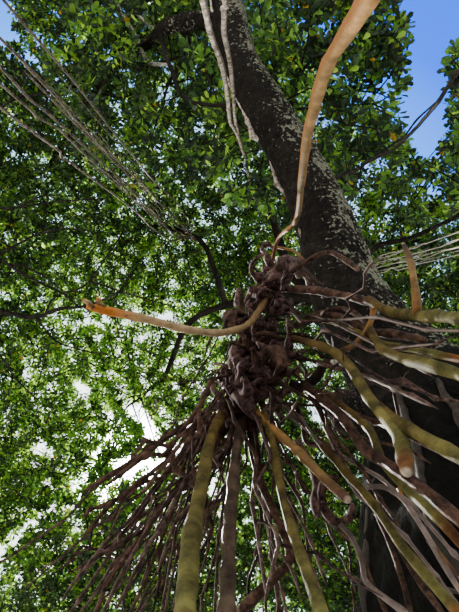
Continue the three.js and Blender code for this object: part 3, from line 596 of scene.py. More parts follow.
# pixel across, pixel down, reach in pixels and share of the leaves left out of each thin place; a
# share below nothing makes a thick one
THIN_PLACES = [
    (118, 400, 140, 0.36), (425, 205, 60, 0.40), (365, 95, 60, 0.30), (195, 250, 60, -0.20)]
# the same for leaves dealt fresh and bright finishes near the sun, painted sunlight through them, with
# their share
PAINTED_SUNLIT_PLACE = (85, 400, 140, 0.36)
# low and high corner of the box that shoots end in
SHOOTS_WITHIN = np.array([[-8.76, -8.48, 0.9], [7.86, 7.66, 12.38]])
# beyond the picture: thickness of growth, length of leaves, and pixels over which both change
BEYOND_SPARSE, BEYOND_LARGE, EDGE_BAND = 0.36, 1.80, 60


def first_draw(seed):
    """The first number of the seeded rule that turns a mass's main twigs."""
    full = 0xFFFFFFFF
    state = (seed + 0x6D2B79F5) & full
    drawn = ((state ^ (state >> 15)) * (state | 1)) & full
    drawn ^= (drawn + (((drawn ^ (drawn >> 7)) * (drawn | 61)) & full)) & full
    return ((drawn ^ (drawn >> 14)) & full) / 4294967296


flat_centre = mass_centre / [1, 1, SQUASH]


def in_own_space(index, points, inset=0.0):
    """True where a point is nearer to this mass than to any other, by distance squared less the
    half width squared, with heights stretched by the squash, and lies inside its half width less
    the inset."""
    flat = points / [1, 1, SQUASH]
    power = ((flat[..., None, :] - flat_centre) ** 2).sum(axis=-1) - mass_half ** 2
    own = power[..., index]
    apart = np.linalg.norm(flat_centre - flat_centre[index], axis=1)
    others = power - own[..., None] - 2 * apart * MARGIN
    others[..., index] = 1
    return (own < -2 * mass_half[index] * inset) & (others > 0).all(axis=-1)


def reach_of_space(index, starts, headings):
    """How far a line from each start runs inside the mass's space, by halving the interval."""
    near = np.zeros(len(starts))
    far = np.full(len(starts), 2.4 * mass_half[index])
    for _ in range(14):
        middle = (near + far) / 2
        inside = in_own_space(index, starts + headings * middle[:, None])
        near, far = np.where(inside, middle, near), np.where(inside, far, middle)
    return near


limb_spots = np.vstack([
    np.column_stack(smooth_path(route, len(route) * 9)) for route in limb_routes.values()])


def clear_of_limbs(points, room):
    """True where a point keeps this far from every limb's bark."""
    low, high = points.min(axis=0) - 0.5, points.max(axis=0) + 0.5
    near = limb_spots[((limb_spots[:, :3] > low) & (limb_spots[:, :3] < high)).all(axis=1)]
    if not len(near):
        return np.ones(len(points), bool)
    apart = np.linalg.norm(points[:, None] - near[None, :, :3], axis=-1) - near[:, 3]
    return apart.min(axis=1) > room


def in_picture(points):
    """Pixel across, pixel down and depth of each point, seen from the camera's place."""
    ray = points - CAMERA_AT
    depth = np.maximum(ray @ LOOKING, 0.01)
    across = PICTURE_WIDE / 2 + FOCAL_PIXELS * (ray @ PICTURE_RIGHT) / depth
    down = PICTURE_HIGH / 2 + FOCAL_PIXELS * (ray @ PICTURE_DOWN) / depth
    return across, down, depth


def shows_sky(points):
    """True where a point, seen from the camera's place, lies in one of the openings."""
    across, down, _ = in_picture(points)
    apart = np.hypot(across[:, None] - SKY_OPENINGS[:, 0], down[:, None] - SKY_OPENINGS[:, 1])
    return (apart < SKY_OPENINGS[:, 2]).any(axis=1)


def spots_inside(index, random):
    """Random points in the mass's space, and the volume that each one stands for."""
    centre, half = mass_centre[index], mass_half[index]
    box = random.uniform(-1, 1, (SPOTS_TRIED, 3)) * [half, half, half * SQUASH] * 0.97
    inside = (centre + box)[in_own_space(index, centre + box)]
    return inside, 8 * (0.97 * half) ** 3 * SQUASH / SPOTS_TRIED


def growth_of(name):
    """Side twigs to the cubic metre and leaf length of a mass."""
    return NEAR_GROWTH if name.startswith("inner") else FINE_GROWTH


def layers_seen():
    """Layers of leaves over each square of the picture, if all masses grew equally thick: the
    leaf area of every small volume over the area of the square at its distance."""
    layers = np.zeros((PICTURE_HIGH // SQUARE + 1, PICTURE_WIDE // SQUARE))
    edges = [np.arange(size + 1) * SQUARE for size in layers.shape]
    for index, (name, *_) in enumerate(MASSES):
        dense, length = growth_of(name)
        inside, volume = spots_inside(index, np.random.default_rng(500 + index))
        across, down, depth = in_picture(inside)
        area = LEAF_AREA * dense * SHOOTS * WHORL * length ** 2 * volume
        layers += np.histogram2d(down, across, bins=edges,
                                 weights=area * (FOCAL_PIXELS / (SQUARE * depth)) ** 2)[0]
    return layers


picture_layers = layers_seen()


def beyond_picture(points):
    """0 for points inside the picture, rising to 1 in a band round its edge."""
    across, down, _ = in_picture(points)
    over = np.maximum.reduce([-across, across - PICTURE_WIDE, -down, down - PICTURE_HIGH])
    return np.clip(over / EDGE_BAND, 0, 1)


def near_place(across, down, place):
    """A place's share at its middle, falling off all round as a bell curve of its reach."""
    middle, low, far, share = place
    return share * np.exp(-np.hypot(across - middle, down - low) ** 2 / far ** 2)


def thickening(points):
    """How much thicker the growth is at each point: more where few layers lie over a square of
    the picture, less where many do, and sparse beyond the picture."""
    across, down, _ = in_picture(points)
    column, row = across / SQUARE - 0.5, down / SQUARE - 0.5
    rows, columns = picture_layers.shape
    low_row = np.clip(np.floor(row).astype(int), 0, rows - 2)
    low_column = np.clip(np.floor(column).astype(int), 0, columns - 2)
    part_row = np.clip(row - low_row, 0, 1)
    part_column = np.clip(column - low_column, 0, 1)
    layers = sum(
        picture_layers[low_row + r, low_column + c]
        * np.where(r, part_row, 1 - part_row) * np.where(c, part_column, 1 - part_column)
        for r in (0, 1) for c in (0, 1))
    wanted = np.full(len(points), WANTED_LAYERS)
    for place in THIN_PLACES:
        wanted *= 1 - near_place(across, down, place)
    thick = np.clip(wanted / np.maximum(layers, 0.01), LEAST_THICK, MOST_THICK)
    beyond = beyond_picture(points)
    return thick * (1 - beyond) + BEYOND_SPARSE * beyond


def bare_spots(index, dense, random):
    """Spots spread through the mass's space, so many to the cubic metre times the thickening:
    from many random points, each next one is the point farthest from all those taken so far,
    where distances count for more in thicker growth."""
    inside, volume = spots_inside(index, random)
    thick = thickening(inside)
    many = int(volume * dense * thick.sum())
    keep = clear_of_limbs(inside, LIMB_ROOM) & ~shows_sky(inside)
    inside, scale = inside[keep], np.cbrt(thick[keep])
    taken = [0]
    apart = np.linalg.norm(inside - inside[0], axis=1)
    for _ in range(many):
        taken.append(int(np.argmax(apart * scale)))
        apart = np.minimum(apart, np.linalg.norm(inside - inside[taken[-1]], axis=1))
    return inside[taken]


def side_twigs(foot, bearers, bearer_tips, spots):
    """One bent twig to each spot, nearest first. It leaves the grown wood where the new twig's
    length and 0.45 of the way already grown add up to least. Returns feet, bends and tips."""
    share = np.linspace(0.12, 1, 14)[:, None]
    wood, way = [], []
    for start, tip in zip(bearers, bearer_tips):
        wood.append(start + (tip - start) * share)
        way.append(np.linalg.norm(start - foot) + np.linalg.norm(tip - start) * share[:, 0])
    wood, way = np.vstack(wood), np.concatenate(way)
    feet, bends = [], []
    spots = spots[np.argsort(np.linalg.norm(spots - foot, axis=1))]
    for spot in spots:
        apart = np.linalg.norm(wood - spot, axis=1)
        best = int(np.argmin(apart + 0.45 * way))
        start, length = wood[best], apart[best]
        bend = (start + spot) / 2 + unit(spot - foot) * 0.10 * length - [0, 0, 0.07 * length]
        feet.append(start)
        bends.append(bend)
        grown = np.vstack([start + (bend - start) * share[::3], bend + (spot - bend) * share[::3]])
        wood = np.vstack([wood, grown])
        way = np.concatenate([way, way[best] + np.linspace(0.06, 1, len(grown)) * length])
    return np.array(feet), np.array(bends), spots


def children(starts, tips, places, spread, lift, random):
    """Twigs at these shares of each parent: each leans from it by the spread, turns about it by
    the golden angle from the one before, and is lifted a little. Returns feet and headings."""
    along = unit(tips - starts)[:, None]
    across = unit(np.cross(along, [0.05, 0.03, 1.0]))
    up = np.cross(across, along)
    turn = random.uniform(0, 2 * np.pi, (len(starts), 1)) + np.arange(len(places)) * GOLDEN
    turn = (turn + random.normal(0, 0.25, turn.shape))[..., None]
    lean = (spread + random.normal(0, 0.12, turn.shape[:2]))[..., None]
    headings = along * np.cos(lean) + (across * np.cos(turn) + up * np.sin(turn)) * np.sin(lean)
    headings = unit(headings * [1, 1, 0.75] + [0, 0, lift])
    feet = starts[:, None] + (tips - starts)[:, None] * np.asarray(places)[None, :, None]
    return feet.reshape(-1, 3), headings.reshape(-1, 3)


def repeated(points, faces):
    """Many copies of one small shape as one: the points of each copy, shape (copies, points, 3),
    and the triangles of one, their point numbers moved on from copy to copy."""
    faces = np.asarray(faces)[None] + np.arange(len(points))[:, None, None] * points.shape[1]
    return points.reshape(-1, 3), np.empty((0, 4), int), faces.reshape(-1, 3)


def three_round(starts, tips):
    """Three directions square to each line from start to tip, a third of a turn apart."""
    along = unit(tips - starts)
    across = unit(np.cross(along, [0.31, 0.17, 0.93]))
    up = np.cross(along, across)
    turn = np.arange(3) * 2 * np.pi / 3
    return across[:, None] * np.cos(turn)[:, None] + up[:, None] * np.sin(turn)[:, None]


def three_sided(starts, tips, thick, thin):
    """Straight three-sided twigs from starts to tips, with a triangle at each end."""
    ring = three_round(starts, tips)
    points = np.concatenate([starts[:, None] + ring * thick, tips[:, None] + ring * thin], axis=1)
    return repeated(points, [[0, 1, 4], [0, 4, 3], [1, 2, 5], [1, 5, 4], [2, 0, 3], [2, 3, 5],
                             [3, 4, 5], [2, 1, 0]])


def spikes(starts, tips, thick):
    """Straight three-sided twigs that run out to a point, closed at the foot."""
    ring = three_round(starts, tips)
    points = np.concatenate([starts[:, None] + ring * thick, tips[:, None]], axis=1)
    return repeated(points, [[0, 1, 3], [1, 2, 3], [2, 0, 3], [2, 1, 0]])


def leaf_finish(name, face, through, share):
    """A glossy leaf of one plain colour, a little darker and lighter from place to place, that lets
    this share of the light through, yellower."""
    material, tree, place = blank_material(name)
    shade, light = (tuple(times * part for part in face) for times in (0.35, 1.35))
    colour = ramp(tree, noise(tree, place, 0.022, 3), [(0.36, shade), (0.64, light)])
    gloss = add_node(tree, "ShaderNodeBsdfPrincipled", Base_Color=colour, Roughness=0.42,
                     Specular_IOR_Level=0.45)
    glow = add_node(tree, "ShaderNodeBsdfTranslucent", Color=(*through, 1))
    both = add_node(tree, "ShaderNodeMixShader", Fac=share)
    tree.links.new(gloss.outputs[0], both.inputs[1])
    tree.links.new(glow.outputs[0], both.inputs[2])
    add_node(tree, "ShaderNodeOutputMaterial", Surface=both.outputs[0])
    return material


leaf_finishes = [
    leaf_finish("leaf_deep", (0.024, 0.041, 0.021), (0.044, 0.090, 0.032), 0.38),
    leaf_finish("leaf_green", (0.050, 0.086, 0.036), (0.17, 0.32, 0.070), 0.47),
    leaf_finish("leaf_fresh", (0.070, 0.150, 0.038), (0.33, 0.68, 0.095), 0.56),
    leaf_finish("leaf_bright", (0.105, 0.240, 0.036), (0.64, 1.00, 0.115), 0.68),
    leaf_finish("leaf_yellow", (0.55, 0.33, 0.020), (0.90, 0.58, 0.030), 0.45),
]
# share of the leaves of each finish, of the sprays that favour each of the first four, of the
# leaves that follow their spray, and of fresh and bright ones among those painted sunlit
LEAF_SHARES = [0.37, 0.31, 0.16, 0.15, 0.01]
SPRAY_SHARES = [0.40, 0.32, 0.15, 0.13]
FOLLOWING = 0.4
PAINTED_SUNLIT_SHARES = [0.35, 0.65]
twig_bark = bark("twig_bark", (0.018, 0.013, 0.009), (0.050, 0.038, 0.026),
                 (0.12, 0.12, 0.09), 0.57, depth=0.002)


def whorls(tips, axes, sizes, outline, random):
    """A whorl of leaves at each shoot's tip: turned by the golden angle round the shoot, leaning
    well out from it, each blade facing along the shoot. Returns the points of each leaf."""
    count = len(tips)
    across = unit(np.cross(axes, [0.11, 0.23, 0.97]))
    up = np.cross(axes, across)
    turn = random.uniform(0, 6.28, (count, 1)) + np.arange(WHORL) * GOLDEN
    turn = turn[..., None] + random.normal(0, 0.12, (count, WHORL, 1))
    lean = np.linspace(0.75, 1.75, WHORL)[None, :, None] + random.normal(0, 0.16, turn.shape)
    axis = axes[:, None]
    out = across[:, None] * np.cos(turn) + up[:, None] * np.sin(turn)
    heading = unit(axis * np.cos(lean) + out * np.sin(lean) + [0, 0, -0.06])
    facing = unit(axis - heading * (axis * heading).sum(axis=-1, keepdims=True))
    side = np.cross(facing, heading)
    roll = random.normal(0, 0.35, turn.shape)
    side, facing = (side * np.cos(roll) + facing * np.sin(roll),
                    facing * np.cos(roll) - side * np.sin(roll))
    back = np.linspace(0.0, WHORL_LENGTH, WHORL)[None, :, None]
    root = tips[:, None] - axis * back
    length = sizes[:, None, None] * random.uniform(0.72, 1.18, turn.shape)
    return (root[..., None, :] + length[..., None] * (
        outline[:, 0:1] * heading[..., None, :] + outline[:, 1:2] * side[..., None, :]
        + outline[:, 2:3] * facing[..., None, :]))


for index, (name, *_, seed) in enumerate(MASSES):
    # main twigs, off a stem that runs on from the limb's tip to above the mass's middle
    random = np.random.default_rng(seed)
    centre, half, route = mass_centre[index], mass_half[index], mass_limb[index]
    entering = heading_at(route, len(route) - 1)
    foot = route[-1, :3]
    top = centre + [0, 0, 0.10 * half]
    count = MAIN_TWIGS if half > SMALL_MASS else SMALL_MASS_TWIGS
    order = np.arange(count)
    rise = 1 - 2 * (order + 0.5) / count
    flat = np.sqrt(1 - rise ** 2)
    turn = first_draw(seed * 7919) * 2 * np.pi + order * GOLDEN
    headings = unit(np.stack([flat * np.cos(turn), flat * np.sin(turn), rise * SQUASH], axis=-1))
    headings = headings[np.argsort(headings @ entering)]
    main_feet = foot + (top - foot) * (0.32 + 0.64 * order / (count - 1))[:, None]
    centres = np.repeat(centre[None], count, axis=0)
    reach = reach_of_space(index, centres, headings)
    main_tips = centre + headings * (reach * MAIN_REACH)[:, None]
    bearers = np.vstack([main_feet, (foot + (top - foot) * 0.3)[None]])
    bearer_tips = np.vstack([main_tips, top[None]])
    dense, leaf_length = growth_of(name)
    side_feet, side_bends, side_tips = side_twigs(
        foot, bearers, bearer_tips, bare_spots(index, dense, random))

    # shoots, less wide to the twig towards its tip, and only those that end in free space
    places = np.linspace(0.10, 1.0, SHOOTS)
    shoot_feet, shoot_headings = children(
        side_bends, side_tips, places, 1.25 - 0.7 * places, SHOOT_LIFT, random)
    shoot_length = random.uniform(*SHOOT_LENGTHS, len(shoot_feet))
    shoot_tips = shoot_feet + shoot_headings * shoot_length[:, None]
    spray = np.repeat(np.arange(len(side_feet)), SHOOTS)
    keep = in_own_space(index, shoot_tips, SPACE_ROOM)
    keep &= ((shoot_tips > SHOOTS_WITHIN[0]) & (shoot_tips < SHOOTS_WITHIN[1])).all(axis=1)
    keep &= clear_of_limbs(shoot_tips, SHOOT_ROOM) & ~shows_sky(shoot_tips)
    shoot_feet, shoot_tips, spray = shoot_feet[keep], shoot_tips[keep], spray[keep]

    # leaves, each a fan of triangles from its foot, and the finish dealt to each
    outline = NEAR_LEAF if name.startswith("inner") else FAR_LEAF
    sizes = leaf_length * (1 + (BEYOND_LARGE - 1) * beyond_picture(shoot_tips))
    leaves = whorls(shoot_tips, unit(shoot_tips - shoot_feet), sizes, outline, random)
    favour = random.choice(4, len(side_feet), p=SPRAY_SHARES)
    own = random.choice(5, leaves.shape[:2], p=LEAF_SHARES)
    colour = np.where(random.random(leaves.shape[:2]) < FOLLOWING, favour[spray][:, None], own)
    # near the sun's place in the picture, leaves get the fresh and bright finishes: painted sunlight
    # shining through them
    painted_sunlit_share = near_place(*in_picture(shoot_tips)[:2], PAINTED_SUNLIT_PLACE)
    painted_sunlit = random.random(leaves.shape[:2]) < painted_sunlit_share[:, None]
    colour = np.where(painted_sunlit, random.choice([2, 3], leaves.shape[:2], p=PAINTED_SUNLIT_SHARES), colour)
    edge = np.arange(1, len(outline) - 1)
    fan = np.stack([0 * edge, edge, edge + 1], axis=1)
    new_piece(f"leaves_{name}", repeated(leaves.reshape(-1, len(outline), 3), fan), leaf_finishes,
              [f"foliage_{name}"], dealt=np.repeat(colour.ravel(), len(fan)), smooth=False)

    # the wood that bears them
    stem = limb_shape([[*foot, route[-1, 3]], [*(foot + entering * 0.12), route[-1, 3] * 0.95],
                       [*top, 0.022]], 0.08, seed, collar=0.0, sides=8, close=24)
    mains = three_sided(main_feet, main_tips, *MAIN_RADII)
    inner = three_sided(side_feet, side_bends, *SIDE_RADII[:2])
    outer = three_sided(side_bends, side_tips, *SIDE_RADII[1:])
    shoots = spikes(shoot_feet, shoot_tips, SHOOT_RADIUS)
    new_piece(f"twigs_{name}", joined([stem, mains, inner, outer, shoots]), [twig_bark],
              [f"foliage_{name}"], smooth=False)


# Hanging roots. Strands of pale to reddish root wood that drop from the limbs: smooth young bark
# with knobs and kinks at old side roots. Each strand wanders a little about its route.
def strand(stations, seed, kink=0.5, knob=0.22, sides=7, close=0.022, joints=None, rough=0.0):
    """A root: a round profile on a smooth path. At its joints, random ones if none are named, it
    steps sideways by about the kink times its thickness and swells by the knob, as a bell curve.
    Rough is the height of its warts over the radius. Returns its shape and each point's share of
    the way to its tip."""
    random = np.random.default_rng(seed)
    table = np.array(stations, float)
    length = np.linalg.norm(np.diff(table[:, :3], axis=0), axis=1).sum()
    count = int(np.clip(length / close, 10, 150))
    points, radius = smooth_path(table, count)
    along, across, up = along_frames(points)
    share = np.linspace(0, 1, count)
    if joints is None:
        joints = np.sort(np.concatenate([[0, 1], random.uniform(0.05, 0.95, int(3 + length * 3))]))
    sway = np.stack([np.interp(share, joints, random.normal(0, 1, len(joints))) for _ in range(2)])
    sway *= np.sin(np.pi * np.clip(share * 4, 0, 0.5)) * kink * radius * 2
    points = points + across * sway[0][:, None] + up * sway[1][:, None]
    nearest = np.abs(share[:, None] - joints[None, 1:-1]).min(axis=1) * length
    radius = radius * (1 + knob * np.exp(-(nearest / (1.6 * radius)) ** 2))
    radius[-1] *= 0.45
    radius[-2] *= 0.85
    angle = np.linspace(0, 2 * np.pi, sides, endpoint=False)
    outward = across[:, None] * np.cos(angle)[:, None] + up[:, None] * np.sin(angle)[:, None]
    spots = points[:, None] + outward * radius[:, None, None]
    uneven = 1 + 0.16 * lumps(spots, 0.03, seed % 97) + rough * lumps(spots, 0.009, seed % 89)
    shape = closed_tube(points[:, None] + outward * (radius[:, None] * uneven)[..., None])
    return shape, np.concatenate([np.repeat(share, sides), [0, 1]])


def root_piece(name, strands, material, nodes):
    """Several strands as one piece, with their along shares."""
    shapes, shares = zip(*strands)
    new_piece(name, joined(shapes), [material], nodes, along=np.concatenate(shares))


def root_bark(name, stops, fleck, roughness=0.62, stripe=0.5, rim=None, corky=0.003, size=0.035):
    """Root bark: a colour ramp down the root's length, dark and light blotches of this size, fine
    corky flecks, and a bumpy skin. The rim is a colour laid on the skin by which way it faces, and
    the steps of east_facing at which it shows (0 for the west side, 1 for the east side). Most roots
    use it for a painted sunlit west side, the pale roots for a painted shaded east side, and the
    cream root for orange west and east sides."""
    material, tree, place = blank_material(name)
    share = add_node(tree, "ShaderNodeAttribute", {"attribute_name": "along"}).outputs["Fac"]
    blotch = noise(tree, place, size, 5, 0.65)
    colour = ramp(tree, share, stops)
    dim = ramp(tree, blotch, [(0.36, (0.12, 0.10, 0.09)), (0.50, (0.8, 0.78, 0.76)),
                              (0.66, (1.8, 1.7, 1.65))])
    colour = blend_colours(tree, stripe, colour, dim, "MULTIPLY")
    grain = noise(tree, place, 0.006, 5, 0.7)
    spots = ramp(tree, grain, [(0.60, (0, 0, 0)), (0.72, (1, 1, 1))])
    colour = blend_colours(tree, spots, colour, fleck)
    # the rim: a colour by which way the skin faces, mostly painted sunlight and painted shade
    if rim:
        rim_colour, *edges = rim
        east_facing = add_node(tree, "ShaderNodeAttribute", {"attribute_name": "east_facing"}).outputs["Fac"]
        sides = ramp(tree, east_facing, [(edge, (level,) * 3) for edge, level in edges])
        colour = blend_colours(tree, sides, colour, rim_colour)
    wooden_skin(tree, colour, roughness, 0.14, noise(tree, place, 0.016, 6, 0.75), 0.9, corky)
    return material


def curtain(heel, plumb, turn, roots, thick, lean, finer, seed):
    """A knotted heel under a limb, then long plumb roots in a row, with finer ones between. Each
    root goes by four stations: out of the heel, onto its plumb line, half way down, and its tip."""
    random = np.random.default_rng(seed)
    heel, plumb = np.array(heel), np.array(plumb)
    away = plumb - heel[:2]
    angle = np.radians(turn)
    row = np.array([np.cos(angle), np.sin(angle)])

    def at(share, drop):
        return [*(heel[:2] + share * away), heel[2] - drop]

    made = [strand([[*at(0, 0), thick * 1.6], [*at(0.2, 0.2), thick * 1.5], [*at(0.4, 0.45), thick * 1.2]],
                   seed, kink=0.2, knob=0.4)]
    rows = [(offset, length, thick) for offset, length in roots]
    low, high = min(r[0] for r in roots), max(r[0] for r in roots)
    for _ in range(finer):
        _, length = roots[random.integers(len(roots))]
        rows.append((random.uniform(low, high), length * random.uniform(0.55, 1.0),
                     thick * random.uniform(0.35, 0.65)))
    for number, (offset, length, wide) in enumerate(rows):
        x, y = plumb + row * offset
        made.append(strand([
            [*at(0.3, 0.3), wide * 0.55], [x, y, heel[2] - 1.0, wide * 0.52],
            [x + lean[0] * 0.5, y + lean[1] * 0.5, heel[2] - 0.5 - length / 2, wide * 0.47],
            [x + lean[0], y + lean[1], heel[2] - length, wide * 0.40],
        ], seed * 31 + number, kink=0.8, close=0.05, sides=6))
    return made


# pale roots: the rim paints shade on the east-facing side
pale_root = root_bark("pale_root", [(0.0, (0.14, 0.11, 0.085)), (0.30, (0.34, 0.28, 0.23)),
                                    (1.0, (0.74, 0.62, 0.54))], (0.10, 0.075, 0.055), stripe=0.95,
                      rim=((0.05, 0.04, 0.03), (0.70, 0), (0.92, 0.8)))
# dull roots: the rim paints sunlight on the west-facing side
dull_root = root_bark("dull_root", [(0.0, (0.07, 0.055, 0.044)), (1.0, (0.19, 0.155, 0.125))],
                      (0.06, 0.045, 0.035), stripe=0.9,
                      rim=((0.80, 0.72, 0.62), (0.14, 0.95), (0.44, 0)))
# a darker copy of the dull roots, painted shade for the curtains in the crown's shade, with the same
# painted sunlit west side
shaded_root = root_bark("shaded_root", [(0.0, (0.045, 0.035, 0.028)), (1.0, (0.105, 0.083, 0.067))],
                        (0.05, 0.038, 0.03), stripe=0.9,
                        rim=((0.72, 0.64, 0.55), (0.08, 0.9), (0.26, 0)))
# near-black roots on the trunk and over the sky: painted shade, like the trunk's bark
grey_root = root_bark("grey_root", [(0.0, (0.024, 0.018, 0.015)), (1.0, (0.055, 0.043, 0.035))],
                      (0.02, 0.015, 0.012))
# name: heel, plumb line's x and y, turn of the row in degrees, each root's place along the row and
# length, thickness of the heel, drift of the tips, how many finer roots, seed
CURTAINS = {
    "roots_west": ([-1.76, -2.10, 9.30], [-1.83, -2.10], 131,
                   [[-0.18, 6.6], [-0.06, 7.1], [-0.01, 5.8], [0.04, 6.9], [0.09, 6.2], [0.19, 5.9]],
                   0.016, [0.06, -0.08], 9, 41),
    "roots_east": ([0.70, -1.22, 7.90], [0.68, -1.42], 75,
                   [[-0.08, 4.2], [-0.03, 4.6], [0.02, 4.4], [0.07, 4.1]], 0.011, [0, -0.03], 9, 43),
    "roots_south": ([-1.60, 2.30, 4.95], [-1.62, 2.33], 30,
                    [[-0.15, 2.9], [0, 2.2], [0.16, 3.2]], 0.026, [-0.05, 0.08], 4, 44),
    "roots_far_east": ([3.10, -0.48, 5.58], [3.12, -0.46], 10,
                       [[-0.14, 2.4], [0.02, 3.1], [0.15, 2.7]], 0.024, [0.06, 0.05], 4, 45),
}
for name, (heel, plumb, turn, roots, thick, lean, finer, seed) in CURTAINS.items():
    root_piece(f"{name}_strands", curtain(heel, plumb, turn, roots, thick, lean, finer, seed),
               dull_root if name == "roots_west" else shaded_root, [name])
root_piece("roots_north_strands", [
    strand([[-0.46, -2.50, 9.18, 0.0246], [-0.62, -2.52, 9.05, 0.0213], [-0.70, -2.53, 8.75, 0.0172],
            [-0.741, -2.53, 7.556, 0.0164], [-0.795, -2.53, 6.37, 0.0164], [-0.822, -2.53, 5.567, 0.0164],
            [-0.873, -2.53, 5.11, 0.0164], [-0.862, -2.53, 4.25, 0.0164], [-0.896, -2.53, 3.87, 0.0172],
            [-0.902, -2.53, 3.56, 0.0172], [-0.905, -2.53, 2.72, 0.0148]],
           61, kink=0.12, knob=0.10, sides=9),
    strand([[-0.805, -2.53, 5.80, 0.0115], [-0.826, -2.53, 5.45, 0.0131], [-0.832, -2.53, 5.11, 0.0139],
            [-0.815, -2.53, 4.25, 0.0139], [-0.823, -2.53, 3.87, 0.0148], [-0.803, -2.53, 3.565, 0.0148],
            [-0.79, -2.53, 2.80, 0.0123]], 62, kink=0.12, knob=0.10, sides=9),
], pale_root, ["roots_north"])
root_piece("root_over_sky", [strand([
    [-0.19, -1.96, 5.10, 0.013], [0.06, -2.10, 5.20, 0.013], [0.26, -2.16, 5.04, 0.013],
    [0.34, -2.17, 4.50, 0.012], [0.32, -2.18, 3.50, 0.011], [0.30, -2.20, 2.50, 0.010],
], 51, kink=0.8)], grey_root, ["roots_northeast"])


# The near tuft. A gnarled cord comes down from the leader and bursts into a broom of roots, the
# nearest with routes of their own, finer ones in a tangle between them. They are dark reddish
# brown and kinked at every joint, olive where they are thick, with pale cut ends here and there.
KNOT = np.array([[-0.55, -1.19, 2.68], [-0.60, -1.14, 2.57], [-0.62, -1.02, 2.46],
                 [-0.63, -0.94, 2.38], [-0.66, -0.88, 2.36]])
# millimetres of thickness to the metre of radius
MM_THICK = 2000
